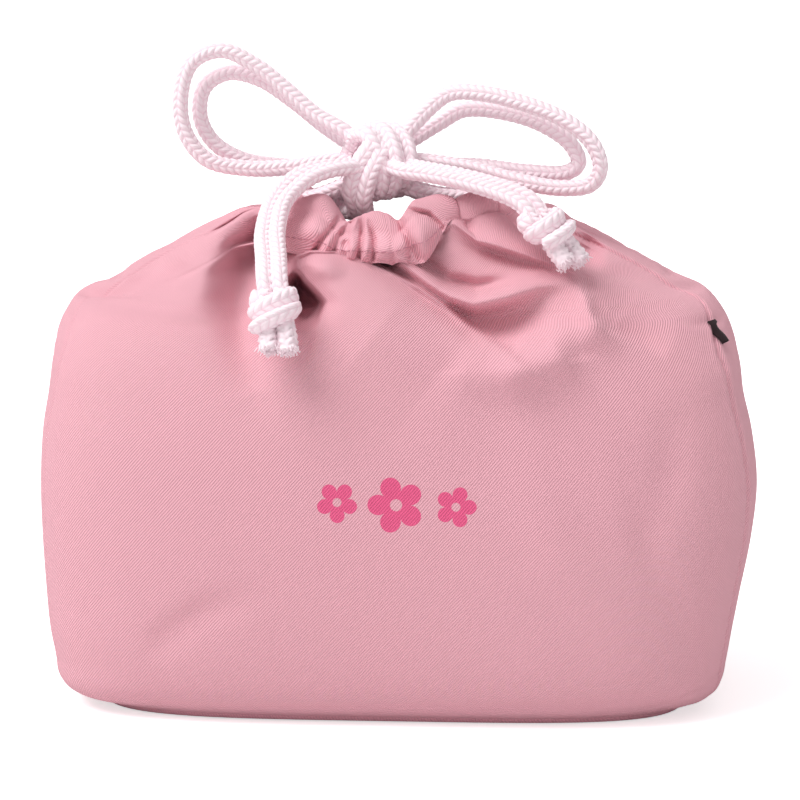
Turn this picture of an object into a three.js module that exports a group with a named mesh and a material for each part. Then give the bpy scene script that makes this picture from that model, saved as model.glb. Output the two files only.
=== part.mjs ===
import * as THREE from 'three';

// Drawstring lunch bag, standing filled, with its mouth gathered and tied in a bow.
// Lengths are in millimetres and +Z is up. The front faces -Y.
// The origin is the middle of the base, on the surface that the bag stands on.

// Cloth body
const bagWidth = 230;
const bagDepth = 126;
const clothThickness = 1.2;
const liningThickness = 0.8;
const liningEase = 0.9;
const baseThickness = 1.6;
const gussetWidth = 88;
const seamGap = 0.3;

// Cord channel: a gathered tube of cloth round the mouth, split by a slit at each side
const mouthWidth = 72;
const mouthDepth = 50;
const channelHeight = 156.5;
const channelRadius = 7.8;
const pleatDepth = 0.8;
const ductRadius = 6;
const slitWidth = 22;
const neckLean = THREE.MathUtils.degToRad(42);
const neckSideLean = THREE.MathUtils.degToRad(-8);
const pleatsPerSide = 7;

// Side tab, a folded ribbon caught in the right front seam
const tabWidth = 4.5;
const tabHeight = 9;
const tabCentreHeight = 115;
const tabThickness = 1;
const tabEase = 0.5;

// Drawcords
const cordDiameter = 5;
const cordClearance = 0.6;
const knotEntry = 4;
const leadEntry = 2;

// Bow knot
const bowCentre = new THREE.Vector3(-8, -1, 171);
const bowRadius = 10;
const bowTilt = THREE.MathUtils.degToRad(28);
const wrapWidth = 7.4;
const wrapInnerRadius = 5;

// Stopper knots on the tails
const stopperRadius = 7.4;
const stopperLength = 14;
const cutEndLength = 8;

// Mesh fineness
const frontColumns = 22;
const gussetColumns = 12;
const liningColumns = 32;
const pleatSteps = 4;
const channelSides = 10;
const cordSides = 8;
const runSteps = 36;
const knotSides = 18;
const outlineSteps = 48;

// The body's outline, from the base to the neck.
// Each row: height share of the neck's height, then how far the width and the depth
// have spread from the neck's size to the bag's, then the squareness of the ring.
const bodyShares = [
  [0, 0.749, 0.65, 4],
  [0.026, 0.819, 0.757, 4],
  [0.094, 0.889, 0.876, 4],
  [0.225, 0.948, 0.948, 3.9],
  [0.361, 0.984, 0.99, 3.8],
  [0.497, 1, 0.98, 3.7],
  [0.626, 0.963, 0.91, 3.6],
  [0.694, 0.931, 0.835, 3.5],
  [0.761, 0.898, 0.75, 3.4],
  [0.822, 0.842, 0.585, 3.2],
  [0.856, 0.799, 0.49, 3],
  [0.89, 0.724, 0.345, 2.8],
  [0.93, 0.591, 0.2, 2.6],
  [0.965, 0.426, 0.11, 2.4],
  [0.988, 0.225, 0.04, 2.2],
  [1, 0, 0, 2],
];
// Where the skin starts to rise to the neck, which is higher at the sides, and how sharply.
const neckStartShare = 0.8;
const neckRisePower = 1.6;
const neckSidePower = 4;

// The front panel's main folds, as rounded swells and dents.
// Each row: where its middle lies, as a share of the half width and of the neck's height,
// how far it spreads across and up in the same shares, and its rise as a share of the depth.
const frontFoldShares = [
  [-0.07, 0.84, 0.18, 0.11, 0.062],
  [0.3, 0.9, 0.17, 0.08, -0.066],
  [-0.35, 0.92, 0.08, 0.06, -0.05],
  [-0.54, 0.93, 0.1, 0.05, -0.03],
  [-0.4, 0.78, 0.09, 0.06, -0.018],
  [0.62, 0.88, 0.11, 0.07, 0.046],
  [-0.7, 0.88, 0.09, 0.06, 0.03],
];
// The lining hangs clear behind those folds.
const liningSagShares = [[0, 0.91, 0.95, 0.13, -0.09]];
const foldFadeShare = 0.05;
const foldEdgePower = 8;

// The knots' profiles. Each row: share of the radius, then share of the half length.
const coreShoulderShare = 0.94;
const coreCapShares = [[0.74, 0.62], [0.42, 0.88], [0, 0.97]];
const wrapHeelShare = 0.8;
const wrapCrownShares = [[0.84, -1], [0.93, -0.5], [0.85, 0], [0.93, 0.5], [0.84, 1]];
const stopperShares = [[0.94, -0.6], [1, -0.3], [0.88, 0], [1, 0.3], [0.94, 0.6]];

const wallBottom = baseThickness + seamGap;
const channelReach = channelRadius + pleatDepth + (seamGap + clothThickness) / 2;
const neckHalfWidth = mouthWidth / 2 + channelReach * Math.cos(neckSideLean);
const neckHalfDepth = mouthDepth / 2 + channelReach * Math.cos(neckLean);
const neckHeight = channelHeight - channelReach * Math.sin(neckLean);
const cordRadius = cordDiameter / 2;
const runOffset = (cordDiameter + cordClearance) / 2;

const paint = {
  cloth: { color: '#e2afb9', roughness: 0.82, metalness: 0 },
  base: { color: '#d8a2ae', roughness: 0.85, metalness: 0 },
  lining: { color: '#efc9d2', roughness: 0.6, metalness: 0 },
  cord: { color: '#fadee8', roughness: 0.7, metalness: 0 },
  ribbon: { color: '#2a2023', roughness: 0.8, metalness: 0 },
};

const bag = new THREE.Group();

function place(name, geometry, finish) {
  const mesh = new THREE.Mesh(geometry, new THREE.MeshStandardMaterial(paint[finish]));
  mesh.name = name;
  bag.add(mesh);
  return mesh;
}

// The ring of the body at a height: half width, half depth and squareness.
function ringAt(height) {
  const share = THREE.MathUtils.clamp((height - wallBottom) / (neckHeight - wallBottom), 0, 1);
  let row = 0;
  while (row < bodyShares.length - 2 && bodyShares[row + 1][0] < share) row += 1;
  const [lowShare, lowWidth, lowDepth, lowSquare] = bodyShares[row];
  const [highShare, highWidth, highDepth, highSquare] = bodyShares[row + 1];
  const blend = (share - lowShare) / (highShare - lowShare);
  const widthShare = THREE.MathUtils.lerp(lowWidth, highWidth, blend);
  const depthShare = THREE.MathUtils.lerp(lowDepth, highDepth, blend);
  return {
    halfWidth: THREE.MathUtils.lerp(neckHalfWidth, bagWidth / 2, widthShare),
    halfDepth: THREE.MathUtils.lerp(neckHalfDepth, bagDepth / 2, depthShare),
    squareness: THREE.MathUtils.lerp(lowSquare, highSquare, blend),
  };
}

function rounded(value, power) {
  return Math.sign(value) * Math.abs(value) ** power;
}

// The middle line of the channel round the mouth, with its outward direction.
function mouthPoint(angle, outward, up) {
  const normal = new THREE.Vector2(Math.cos(angle) / mouthWidth, Math.sin(angle) / mouthDepth).normalize();
  return new THREE.Vector3(
    (mouthWidth / 2) * Math.cos(angle) + outward * normal.x,
    (mouthDepth / 2) * Math.sin(angle) + outward * normal.y,
    channelHeight + up,
  );
}

// How far the skin is moved at an angle and height so that its neck follows the channel,
// coming from below at the front and the back, and from the side at the sides.
function neckShift(angle, height) {
  const lean = THREE.MathUtils.lerp(neckLean, neckSideLean, Math.cos(angle) ** neckSidePower);
  const neck = mouthPoint(angle, channelReach * Math.cos(lean), -channelReach * Math.sin(lean));
  const plain = new THREE.Vector3(neckHalfWidth * Math.cos(angle), neckHalfDepth * Math.sin(angle), neckHeight);
  const share = (height - wallBottom) / (neckHeight - wallBottom);
  const near = THREE.MathUtils.clamp((share - neckStartShare) / (1 - neckStartShare), 0, 1);
  return neck.sub(plain).multiplyScalar(near ** neckRisePower);
}

// A point of the body's skin at an angle round it, moved inward by an inset along the normal.
function skinPoint(angle, height, inset) {
  const ring = ringAt(height);
  const power = 2 / ring.squareness;
  const x = ring.halfWidth * rounded(Math.cos(angle), power);
  const y = ring.halfDepth * rounded(Math.sin(angle), power);
  const reach = clothThickness;
  const above = ringAt(height + reach);
  const below = ringAt(height - reach);
  const rise = Math.min(height + reach, neckHeight) - Math.max(height - reach, wallBottom);
  const widthSlope = (above.halfWidth - below.halfWidth) / rise;
  const depthSlope = (above.halfDepth - below.halfDepth) / rise;
  const acrossX = rounded(x / ring.halfWidth, ring.squareness - 1);
  const acrossY = rounded(y / ring.halfDepth, ring.squareness - 1);
  const normal = new THREE.Vector3(
    acrossX / ring.halfWidth,
    acrossY / ring.halfDepth,
    -(acrossX * x * widthSlope) / ring.halfWidth ** 2 - (acrossY * y * depthSlope) / ring.halfDepth ** 2,
  ).normalize();
  return new THREE.Vector3(x, y, height).add(neckShift(angle, height)).addScaledVector(normal, -inset);
}

// The angle round the body at which its skin is a given distance in front of the middle.
function angleAtDepth(forward, height) {
  const ring = ringAt(height);
  const share = Math.min(Math.abs(forward) / ring.halfDepth, 1);
  return -Math.sign(forward) * Math.asin(share ** (ring.squareness / 2));
}

// The distance from the middle to the gusset seams, which close in towards the neck.
function seamForward(height) {
  return (ringAt(height).halfDepth * gussetWidth) / bagDepth;
}

// A closed solid between an outer and an inner surface, each a grid of rows and columns.
// A ring has its last column joined to its first.
function wallSolid(rows, columns, isRing, outerPoint, innerPoint) {
  const perRow = isRing ? columns : columns + 1;
  const positions = [];
  for (const surface of [outerPoint, innerPoint]) {
    for (let row = 0; row <= rows; row += 1) {
      for (let column = 0; column < perRow; column += 1) {
        positions.push(...surface(row / rows, column / columns).toArray());
      }
    }
  }
  const outer = (row, column) => row * perRow + (column % perRow);
  const inner = (row, column) => (rows + 1) * perRow + outer(row, column);
  const index = [];
  const quad = (a, b, c, d) => index.push(a, b, c, a, c, d);
  for (let column = 0; column < columns; column += 1) {
    for (let row = 0; row < rows; row += 1) {
      quad(outer(row, column), outer(row, column + 1), outer(row + 1, column + 1), outer(row + 1, column));
      quad(inner(row, column), inner(row + 1, column), inner(row + 1, column + 1), inner(row, column + 1));
    }
    quad(inner(0, column), inner(0, column + 1), outer(0, column + 1), outer(0, column));
    quad(outer(rows, column), outer(rows, column + 1), inner(rows, column + 1), inner(rows, column));
  }
  for (let row = 0; row < rows && !isRing; row += 1) {
    quad(outer(row, 0), outer(row + 1, 0), inner(row + 1, 0), inner(row, 0));
    quad(outer(row, columns), inner(row, columns), inner(row + 1, columns), outer(row + 1, columns));
  }
  const geometry = new THREE.BufferGeometry();
  geometry.setAttribute('position', new THREE.Float32BufferAttribute(positions, 3));
  geometry.setIndex(index);
  geometry.computeVertexNormals();
  return geometry;
}

// The height of a grid row: the rows fall on the rows of the body's outline.
function bodyHeight(rowShare) {
  const row = Math.round(rowShare * (bodyShares.length - 1));
  return THREE.MathUtils.lerp(wallBottom, neckHeight, bodyShares[row][0]);
}

// The rise of folds at a place on the body, fading out at the neck.
function foldRise(shares, forwardX, height) {
  const across = forwardX / (bagWidth / 2);
  const up = height / neckHeight;
  let rise = 0;
  for (const [middle, level, spreadAcross, spreadUp, riseShare] of shares) {
    const away = ((across - middle) / spreadAcross) ** 2 + ((up - level) / spreadUp) ** 2;
    rise += riseShare * bagDepth * Math.exp(-away);
  }
  return rise * THREE.MathUtils.clamp((1 - up) / foldFadeShare, 0, 1);
}

// A front or back panel: facing is -1 for the front and 1 for the back.
// Its columns lie evenly across the bag.
function widePanel(facing) {
  const surface = (inset) => (rowShare, columnShare) => {
    const height = bodyHeight(rowShare);
    const { squareness } = ringAt(height);
    const seam = angleAtDepth(-(seamForward(height) + seamGap / 2), height);
    const edge = Math.cos(seam) ** (2 / squareness);
    const place = 1 - 2 * columnShare;
    const angle = Math.acos(rounded(edge * place, squareness / 2));
    const plain = skinPoint(facing < 0 ? Math.PI + angle : angle, height, 0);
    const fade = 1 - Math.abs(place) ** foldEdgePower;
    const rise = facing < 0 ? fade * foldRise(frontFoldShares, plain.x, height) : 0;
    return skinPoint(facing < 0 ? Math.PI + angle : angle, height, inset - rise);
  };
  return wallSolid(bodyShares.length - 1, frontColumns, false, surface(0), surface(clothThickness));
}

// A gusset between the front and back panels: side is -1 for the left and 1 for the right.
function gusset(side) {
  const surface = (inset) => (rowShare, columnShare) => {
    const height = bodyHeight(rowShare);
    const reach = seamForward(height) - seamGap / 2;
    const angle = angleAtDepth(THREE.MathUtils.lerp(reach, -reach, columnShare), height);
    return skinPoint(side < 0 ? Math.PI + angle : angle, height, inset);
  };
  return wallSolid(bodyShares.length - 1, gussetColumns, false, surface(0), surface(clothThickness));
}

function liningWall() {
  const surface = (inset) => (rowShare, columnShare) => {
    const angle = 2 * Math.PI * columnShare;
    const height = bodyHeight(rowShare);
    const sag = foldRise(liningSagShares, skinPoint(angle, height, 0).x, height);
    return skinPoint(angle, height, inset - sag * Math.max(-Math.sin(angle), 0));
  };
  const outside = clothThickness + liningEase;
  return wallSolid(
    bodyShares.length - 1,
    liningColumns,
    true,
    surface(outside),
    surface(outside + liningThickness),
  );
}

// A flat panel with the outline of the body's lowest ring, drawn in by an inset.
function floorPanel(inset, thickness) {
  const outline = [];
  for (let step = 0; step < outlineSteps; step += 1) {
    const point = skinPoint((2 * Math.PI * step) / outlineSteps, wallBottom, inset);
    outline.push(new THREE.Vector2(point.x, point.y));
  }
  return new THREE.ExtrudeGeometry(new THREE.Shape(outline), { depth: thickness, bevelEnabled: false });
}

// One half of the cord channel, pleated outside and smooth inside, from slit to slit.
function channelHalf(facing) {
  const first = facing < 0 ? Math.PI : 0;
  const surface = (radiusAt) => (rowShare, columnShare) => {
    const angle = first + THREE.MathUtils.lerp(Math.PI - slitAngle, slitAngle, rowShare);
    const turn = 2 * Math.PI * columnShare;
    const radius = radiusAt(rowShare);
    return mouthPoint(angle, radius * Math.cos(turn), radius * Math.sin(turn));
  };
  const pleated = (share) => channelRadius + pleatDepth * Math.cos(2 * Math.PI * pleatsPerSide * share);
  return wallSolid(
    pleatsPerSide * pleatSteps,
    channelSides,
    true,
    surface(pleated),
    surface(() => ductRadius),
  );
}

// A drawcord round the channel at an angle travelled from its own slit. It comes out on top
// there, winds once round the other cord, and passes under it at the slit opposite.
function runPoint(side, travelled) {
  const angle = side < 0 ? Math.PI + travelled : travelled;
  const turn = Math.PI / 2 - travelled;
  return mouthPoint(angle, runOffset * Math.cos(turn), runOffset * Math.sin(turn));
}

const slitAngle = Math.asin(slitWidth / mouthDepth);
const leadGapAngle = (2 * seamGap) / mouthDepth;
const leadEntryAngle = (2 * leadEntry) / mouthDepth;

class ChannelRun extends THREE.Curve {
  constructor(side) {
    super();
    this.side = side;
  }

  getPoint(share, target = new THREE.Vector3()) {
    const travelled = THREE.MathUtils.lerp(slitAngle, 2 * Math.PI - slitAngle, share);
    return target.copy(runPoint(this.side, travelled));
  }
}

function cordSection() {
  const corners = [];
  for (let side = 0; side < cordSides; side += 1) {
    const turn = (2 * Math.PI * (side + 0.5)) / cordSides;
    corners.push(new THREE.Vector2(cordRadius * Math.cos(turn), cordRadius * Math.sin(turn)));
  }
  return new THREE.Shape(corners);
}

function cordAlong(path, steps) {
  return new THREE.ExtrudeGeometry(cordSection(), { steps, bevelEnabled: false, extrudePath: path });
}

// The point where a cord meets the bow knot, and one a little farther out on the same line.
function knotMouth(azimuth, elevation) {
  const turn = THREE.MathUtils.degToRad(azimuth);
  const lift = THREE.MathUtils.degToRad(elevation);
  const outward = new THREE.Vector3(
    Math.cos(lift) * Math.cos(turn),
    Math.cos(lift) * Math.sin(turn),
    Math.sin(lift),
  );
  const near = bowCentre.clone().addScaledVector(outward, bowRadius + seamGap);
  const far = bowCentre.clone().addScaledVector(outward, bowRadius + seamGap + knotEntry);
  return { near, far };
}

// Route points are written from the bow's centre.
function fromBow(points) {
  return points.map(([x, y, z]) => new THREE.Vector3(x, y, z).add(bowCentre));
}

function loopStrand(leave, points, arrive, steps) {
  const start = knotMouth(...leave);
  const end = knotMouth(...arrive);
  const route = [start.near, start.far, ...fromBow(points), end.far, end.near];
  return cordAlong(new THREE.CatmullRomCurve3(route, false, 'centripetal'), steps);
}

function tailStrand(leave, points, foot, acrossSign, steps) {
  const start = knotMouth(...leave);
  const shift = foot.across.clone().multiplyScalar(acrossSign * runOffset);
  const arrive = foot.entry.clone().add(shift);
  const approach = arrive.clone().addScaledVector(foot.along, -knotEntry);
  const route = [start.near, start.far, ...fromBow(points), approach, arrive];
  return cordAlong(new THREE.CatmullRomCurve3(route, false, 'centripetal'), steps);
}

// The foot of a tail: where its two strands enter the stopper knot, which way they run,
// and the direction from one strand to the other as they lie on the cloth.
function tailFoot(entry, along, outward) {
  const run = new THREE.Vector3(...along).normalize();
  const across = new THREE.Vector3(...outward).cross(run).normalize();
  return { entry: new THREE.Vector3(...entry).add(bowCentre), along: run, across };
}

// A stopper knot under the foot, its flat seats square to the strands.
function seatStopper(name, foot) {
  const knot = place(name, stopperKnot(), 'cord');
  knot.quaternion.setFromUnitVectors(new THREE.Vector3(0, -1, 0), foot.along);
  knot.position.copy(foot.entry).addScaledVector(foot.along, seamGap + stopperLength / 2);
}

// A cut end of one strand below the stopper knot.
function cutEnd(foot, acrossSign) {
  const start = foot.entry.clone();
  start.addScaledVector(foot.along, stopperLength + 2 * seamGap);
  start.addScaledVector(foot.across, acrossSign * runOffset);
  const end = start.clone().addScaledVector(foot.along, cutEndLength);
  return cordAlong(new THREE.LineCurve3(start, end), 1);
}

// A lead from the channel's slit to the bow: side is -1 at the left, facing -1 at the front.
function leadStrand(side, facing, points, arrive, steps) {
  const onRun = (travelled) => runPoint(side, side === facing ? travelled : 2 * Math.PI - travelled);
  const start = onRun(slitAngle - leadGapAngle);
  const next = onRun(slitAngle - leadGapAngle - leadEntryAngle);
  const end = knotMouth(...arrive);
  const route = [start, next, ...fromBow(points), end.far, end.near];
  return cordAlong(new THREE.CatmullRomCurve3(route, false, 'centripetal'), steps);
}

// A revolved solid whose profile is written from its lower to its upper end.
function revolved(profile, sides) {
  return new THREE.LatheGeometry(profile.map(([radius, along]) => new THREE.Vector2(radius, along)), sides);
}

// A profile given as shares of a radius and of a half length.
function fromShares(shares, radius, half) {
  return shares.map(([radiusShare, alongShare]) => [radius * radiusShare, half * alongShare]);
}

// The two lobes of the bow knot, drawn in at the waist for the wrap.
function bowCore() {
  const waist = wrapInnerRadius - seamGap;
  const flank = wrapWidth / 2 + seamGap;
  const shoulder = coreShoulderShare * Math.sqrt(bowRadius ** 2 - flank ** 2);
  const upper = fromShares(coreCapShares, bowRadius, bowRadius);
  const lower = upper.map(([radius, along]) => [radius, -along]).reverse();
  const middle = [[shoulder, -flank], [waist, -flank], [waist, flank], [shoulder, flank]];
  return revolved([...lower, ...middle, ...upper], knotSides);
}

// The doubled cord drawn once round the waist of the bow, with a groove between its strands.
function bowWrap() {
  const crown = fromShares(wrapCrownShares, bowRadius, wrapWidth / 2);
  const heel = wrapHeelShare * (wrapWidth / 2);
  const profile = [[wrapInnerRadius, -heel], ...crown, [wrapInnerRadius, heel], [wrapInnerRadius, -heel]];
  return revolved(profile, knotSides);
}

// An overhand knot tied in both strands of a tail: two lobes with a flat seat at each end.
function stopperKnot() {
  const half = stopperLength / 2;
  const seat = cordDiameter + seamGap;
  const lobes = fromShares(stopperShares, stopperRadius, half);
  return revolved([[0, -half], [seat, -half], ...lobes, [seat, half], [0, half]], knotSides);
}

place('front_panel', widePanel(-1), 'cloth');
place('back_panel', widePanel(1), 'cloth');
place('left_gusset', gusset(-1), 'cloth');
place('right_gusset', gusset(1), 'cloth');
place('base_panel', floorPanel(0, baseThickness), 'base');
place('lining_wall', liningWall(), 'lining');

const liningInset = clothThickness + liningEase + liningThickness + seamGap;
const liningFloor = place('lining_floor', floorPanel(liningInset, liningThickness), 'lining');
liningFloor.position.z = wallBottom;

place('front_channel', channelHalf(-1), 'cloth');
place('back_channel', channelHalf(1), 'cloth');

// The tab lies on the right gusset, just behind the seam that holds it.
function sideTab() {
  const surface = (inset) => (rowShare, columnShare) => {
    const height = tabCentreHeight + tabHeight * (rowShare - 0.5);
    const forward = seamForward(height) - seamGap / 2 - tabWidth * columnShare;
    return skinPoint(angleAtDepth(forward, height), height, inset);
  };
  return wallSolid(2, 3, false, surface(-tabEase - tabThickness), surface(-tabEase));
}
place('side_tab', sideTab(), 'ribbon');

place('left_cord_run', cordAlong(new ChannelRun(-1), runSteps), 'cord');
place('right_cord_run', cordAlong(new ChannelRun(1), runSteps), 'cord');

// Azimuths are in degrees from +X towards +Y, and elevations in degrees above level.
place('left_lead_front', leadStrand(-1, -1,
  [[-26, -4.8, -11.7], [-23.2, -2.6, -11.3], [-18.5, -2.1, -10.4]],
  [198, -33], 6), 'cord');
place('left_lead_back', leadStrand(-1, 1,
  [[-24.6, 6.8, -11.7], [-22.4, 4.7, -11.3], [-18.5, 4.1, -10.4]],
  [162, -33], 6), 'cord');
place('right_lead_front', leadStrand(1, -1,
  [[40.6, -4.8, -11.7], [38.4, -2.7, -11.3], [30, -2.2, -10.6], [20, -2.8, -9.8]],
  [342, -33], 7), 'cord');
place('right_lead_back', leadStrand(1, 1,
  [[42, 6.8, -11.7], [39.2, 4.6, -11.3], [30, 4.2, -10.6], [20, 3.9, -9.8]],
  [18, -33], 7), 'cord');

const bowTurn = new THREE.Euler(0, bowTilt, -Math.PI / 2);
const core = place('bow_knot_core', bowCore(), 'cord');
core.position.copy(bowCentre);
core.rotation.copy(bowTurn);
const wrap = place('bow_knot_wrap', bowWrap(), 'cord');
wrap.position.copy(bowCentre);
wrap.rotation.copy(bowTurn);

place('left_loop_front', loopStrand([180, 48],
  [[-19.5, 2, 16], [-29, 3, 24], [-38, 3, 31], [-49, 2, 36], [-58.4, 1, 32.4], [-62.2, 0, 22],
    [-61, 0, 10], [-54, 0.6, 1.2], [-42, 1.6, -1.6], [-29, 1.6, -1.4]],
  [178, 4], 11), 'cord');
place('left_loop_back', loopStrand([145, 30],
  [[-17.5, 9.4, 12], [-27, 10, 19.5], [-38, 10, 26.6], [-48, 9, 28.6], [-55.6, 8, 24], [-57, 7.6, 14.2],
    [-52.5, 8, 6], [-43, 8.6, 0.6], [-30, 9.6, -1.4]],
  [142, -6], 10), 'cord');
place('right_loop_front', loopStrand([0, 45],
  [[16.9, 1, 17.4], [24, 0, 22.6], [34, -2, 22.8], [46.2, -4, 20.1], [59.4, -6, 15.2], [69, -7, 7.7],
    [71.9, -7, -0.5], [69, -6, -5.6], [60, -5, -7], [46, -3, -5], [30, -0.6, -1]],
  [0, 5], 11), 'cord');
place('right_loop_back', loopStrand([35, 28],
  [[20.6, 8.6, 13], [28, 7.6, 17], [40, 5, 16.6], [53, 2.2, 12.9], [62.6, 0.6, 6.4], [65, 0.6, 0.4],
    [61, 1.8, -2.6], [49, 3.6, -2.6], [32, 7, -1]],
  [36, -4], 10), 'cord');

const leftFoot = tailFoot([-30.4, -55.6, -38.0], [0.08, -0.5, -0.86], [-0.1, -0.86, 0.5]);
place('left_tail_outer', tailStrand([220, 0],
  [[-21, -14, -0.8], [-28, -18.4, -5.4], [-32, -25, -11.6], [-33.4, -36, -20.6], [-33.3, -45.6, -29]],
  leftFoot, -1, 6), 'cord');
place('left_tail_inner', tailStrand([252, 0],
  [[-10.6, -17.4, -0.4], [-18.4, -20.8, -3.4], [-25, -26.6, -9.6],
    [-27.6, -36, -18.8], [-27.7, -45.6, -28.4]],
  leftFoot, 1, 6), 'cord');
seatStopper('left_stopper_knot', leftFoot);
place('left_cord_end_outer', cutEnd(leftFoot, -1), 'cord');
place('left_cord_end_inner', cutEnd(leftFoot, 1), 'cord');

const rightFoot = tailFoot([46.8, -30.8, -12.5], [0.66, -0.3, -0.69], [0.3, -0.5, 0.8]);
place('right_tail_front', tailStrand([295, 0],
  [[9.4, -17.6, -0.8], [19, -22.8, -1.9], [30, -27, -5.4]],
  rightFoot, -1, 5), 'cord');
place('right_tail_back', tailStrand([328, 0],
  [[17, -11.6, -0.6], [27, -17.2, -1.8], [36.4, -22, -5]],
  rightFoot, 1, 5), 'cord');
seatStopper('right_stopper_knot', rightFoot);
place('right_cord_end_front', cutEnd(rightFoot, -1), 'cord');
place('right_cord_end_back', cutEnd(rightFoot, 1), 'cord');

export default bag;
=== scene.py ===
import math

import bpy
import numpy as np
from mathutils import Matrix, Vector


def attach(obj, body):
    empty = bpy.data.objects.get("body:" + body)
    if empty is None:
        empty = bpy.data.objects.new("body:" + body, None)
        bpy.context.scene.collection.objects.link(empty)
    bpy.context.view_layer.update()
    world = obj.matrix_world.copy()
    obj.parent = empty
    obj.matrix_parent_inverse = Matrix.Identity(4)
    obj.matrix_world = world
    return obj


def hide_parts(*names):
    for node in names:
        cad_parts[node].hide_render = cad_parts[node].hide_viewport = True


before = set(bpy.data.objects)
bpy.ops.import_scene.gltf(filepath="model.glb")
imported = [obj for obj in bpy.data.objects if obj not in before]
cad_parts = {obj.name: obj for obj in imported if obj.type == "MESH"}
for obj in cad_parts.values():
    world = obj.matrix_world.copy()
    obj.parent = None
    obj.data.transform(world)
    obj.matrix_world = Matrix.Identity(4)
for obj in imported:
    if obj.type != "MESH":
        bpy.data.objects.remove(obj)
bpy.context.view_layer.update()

MM = 0.001

# Lengths are in millimetres and angles in degrees, in the frame of the solids.
BOW = np.array([-8.0, -1.0, 171.0])
# The braid's stitches: how many columns go round the cord, and their step along it.
BRAID_COLUMNS = 6
BRAID_PITCH = 2.4
STITCH_TOP = (0.5 / BRAID_COLUMNS, BRAID_PITCH / 2)

# The camera stands at the photo's angle, and its scale is that of the photo at the bag's middle.
LOOK_AT = np.array([0.0, 0.0, 94.5])
CAMERA_AZIMUTH = 3.5
CAMERA_ELEVATION = 9.0
CAMERA_DISTANCE = 900.0
MM_PER_PIXEL = 0.3245
PICTURE = 800
SENSOR = 36.0


def camera_axes():
    """The camera's right, up and back directions."""
    azimuth, elevation = math.radians(CAMERA_AZIMUTH), math.radians(CAMERA_ELEVATION)
    back = np.array([
        math.sin(azimuth) * math.cos(elevation),
        -math.cos(azimuth) * math.cos(elevation),
        math.sin(elevation),
    ])
    right = np.cross(-back, [0, 0, 1.0])
    right /= np.linalg.norm(right)
    return right, np.cross(right, -back), back


def seen_at(points):
    """Where points show in the picture, in pixels."""
    right, up, back = camera_axes()
    away = points - (LOOK_AT + back * CAMERA_DISTANCE)
    ahead = -(away @ back)
    focal = CAMERA_DISTANCE / MM_PER_PIXEL
    return PICTURE / 2 + focal * (away @ right) / ahead, PICTURE / 2 - focal * (away @ up) / ahead


def add_object(name, data):
    thing = bpy.data.objects.new(name, data)
    bpy.context.scene.collection.objects.link(thing)
    return thing


def add_camera():
    back = camera_axes()[2]
    data = bpy.data.cameras.new("camera")
    data.sensor_width = SENSOR
    data.lens = CAMERA_DISTANCE / MM_PER_PIXEL / PICTURE * SENSOR
    data.clip_end = 200.0
    camera = add_object("camera", data)
    camera.location = Vector((LOOK_AT + back * CAMERA_DISTANCE) * MM)
    camera.rotation_euler = Vector(-back).to_track_quat("-Z", "Y").to_euler()
    bpy.context.scene.camera = camera


def smooth_step(value, low, high):
    """Eases from 0 at one value to 1 at another."""
    t = np.clip((value - low) / (high - low), 0, 1)
    return t * t * (3 - 2 * t)


LINE_STEPS = 24


def travelled_along(line):
    """How far along a line each of its points lies."""
    return np.concatenate([[0], np.cumsum(np.linalg.norm(np.diff(line, axis=0), axis=1))])


def between_four(p0, p1, p2, p3, t):
    """A smooth curve from the second of four even steps to the third."""
    return 0.5 * (
        2 * p1 + (p2 - p0) * t + (2 * p0 - 5 * p1 + 4 * p2 - p3) * t**2
        + (3 * p1 - p0 - 3 * p2 + p3) * t**3
    )


def smooth_rows(table, count):
    """Rows of numbers, smoothly filled in to a count of rows that lie evenly along the first two."""
    p = np.asarray(table, float)
    ends = np.vstack([2 * p[0] - p[1], p, 2 * p[-1] - p[-2]])
    fine = []
    for i in range(1, len(ends) - 2):
        p0, p1, p2, p3 = ends[i - 1:i + 3]
        t = np.linspace(0, 1, LINE_STEPS, endpoint=False)[:, None]
        fine.append(between_four(p0, p1, p2, p3, t))
    line = np.vstack(fine + [ends[-2:-1]])
    travelled = travelled_along(line[:, :2])
    even = np.linspace(0, travelled[-1], count)
    return np.stack([np.interp(even, travelled, line[:, i]) for i in range(line.shape[1])], 1), even


def through(points, step):
    """A smooth line through points, with an even step between its samples."""
    p = np.asarray(points, float)
    if len(p) == 2:
        count = max(2, int(np.linalg.norm(p[1] - p[0]) / step) + 1)
        return p[0] + (p[1] - p[0]) * np.linspace(0, 1, count)[:, None]
    ends = np.vstack([2 * p[0] - p[1], p, 2 * p[-1] - p[-2]])
    fine = []
    for i in range(1, len(ends) - 2):
        p0, p1, p2, p3 = ends[i - 1:i + 3]
        t01 = max(np.linalg.norm(p1 - p0), 1e-6) ** 0.5
        t12 = max(np.linalg.norm(p2 - p1), 1e-6) ** 0.5
        t23 = max(np.linalg.norm(p3 - p2), 1e-6) ** 0.5
        m1 = (p2 - p1) + t12 * ((p1 - p0) / t01 - (p2 - p0) / (t01 + t12))
        m2 = (p2 - p1) + t12 * ((p3 - p2) / t23 - (p3 - p1) / (t12 + t23))
        t = np.linspace(0, 1, LINE_STEPS, endpoint=False)[:, None]
        fine.append(
            (2 * t**3 - 3 * t**2 + 1) * p1 + (t**3 - 2 * t**2 + t) * m1
            + (-2 * t**3 + 3 * t**2) * p2 + (t**3 - t**2) * m2
        )
    line = np.vstack(fine + [ends[-2:-1]])
    travelled = travelled_along(line)
    count = max(2, int(round(travelled[-1] / step)) + 1)
    even = np.linspace(0, travelled[-1], count)
    return np.stack([np.interp(even, travelled, line[:, i]) for i in range(3)], 1)


def length_of(line):
    return float(np.linalg.norm(np.diff(line, axis=0), axis=1).sum())


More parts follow.
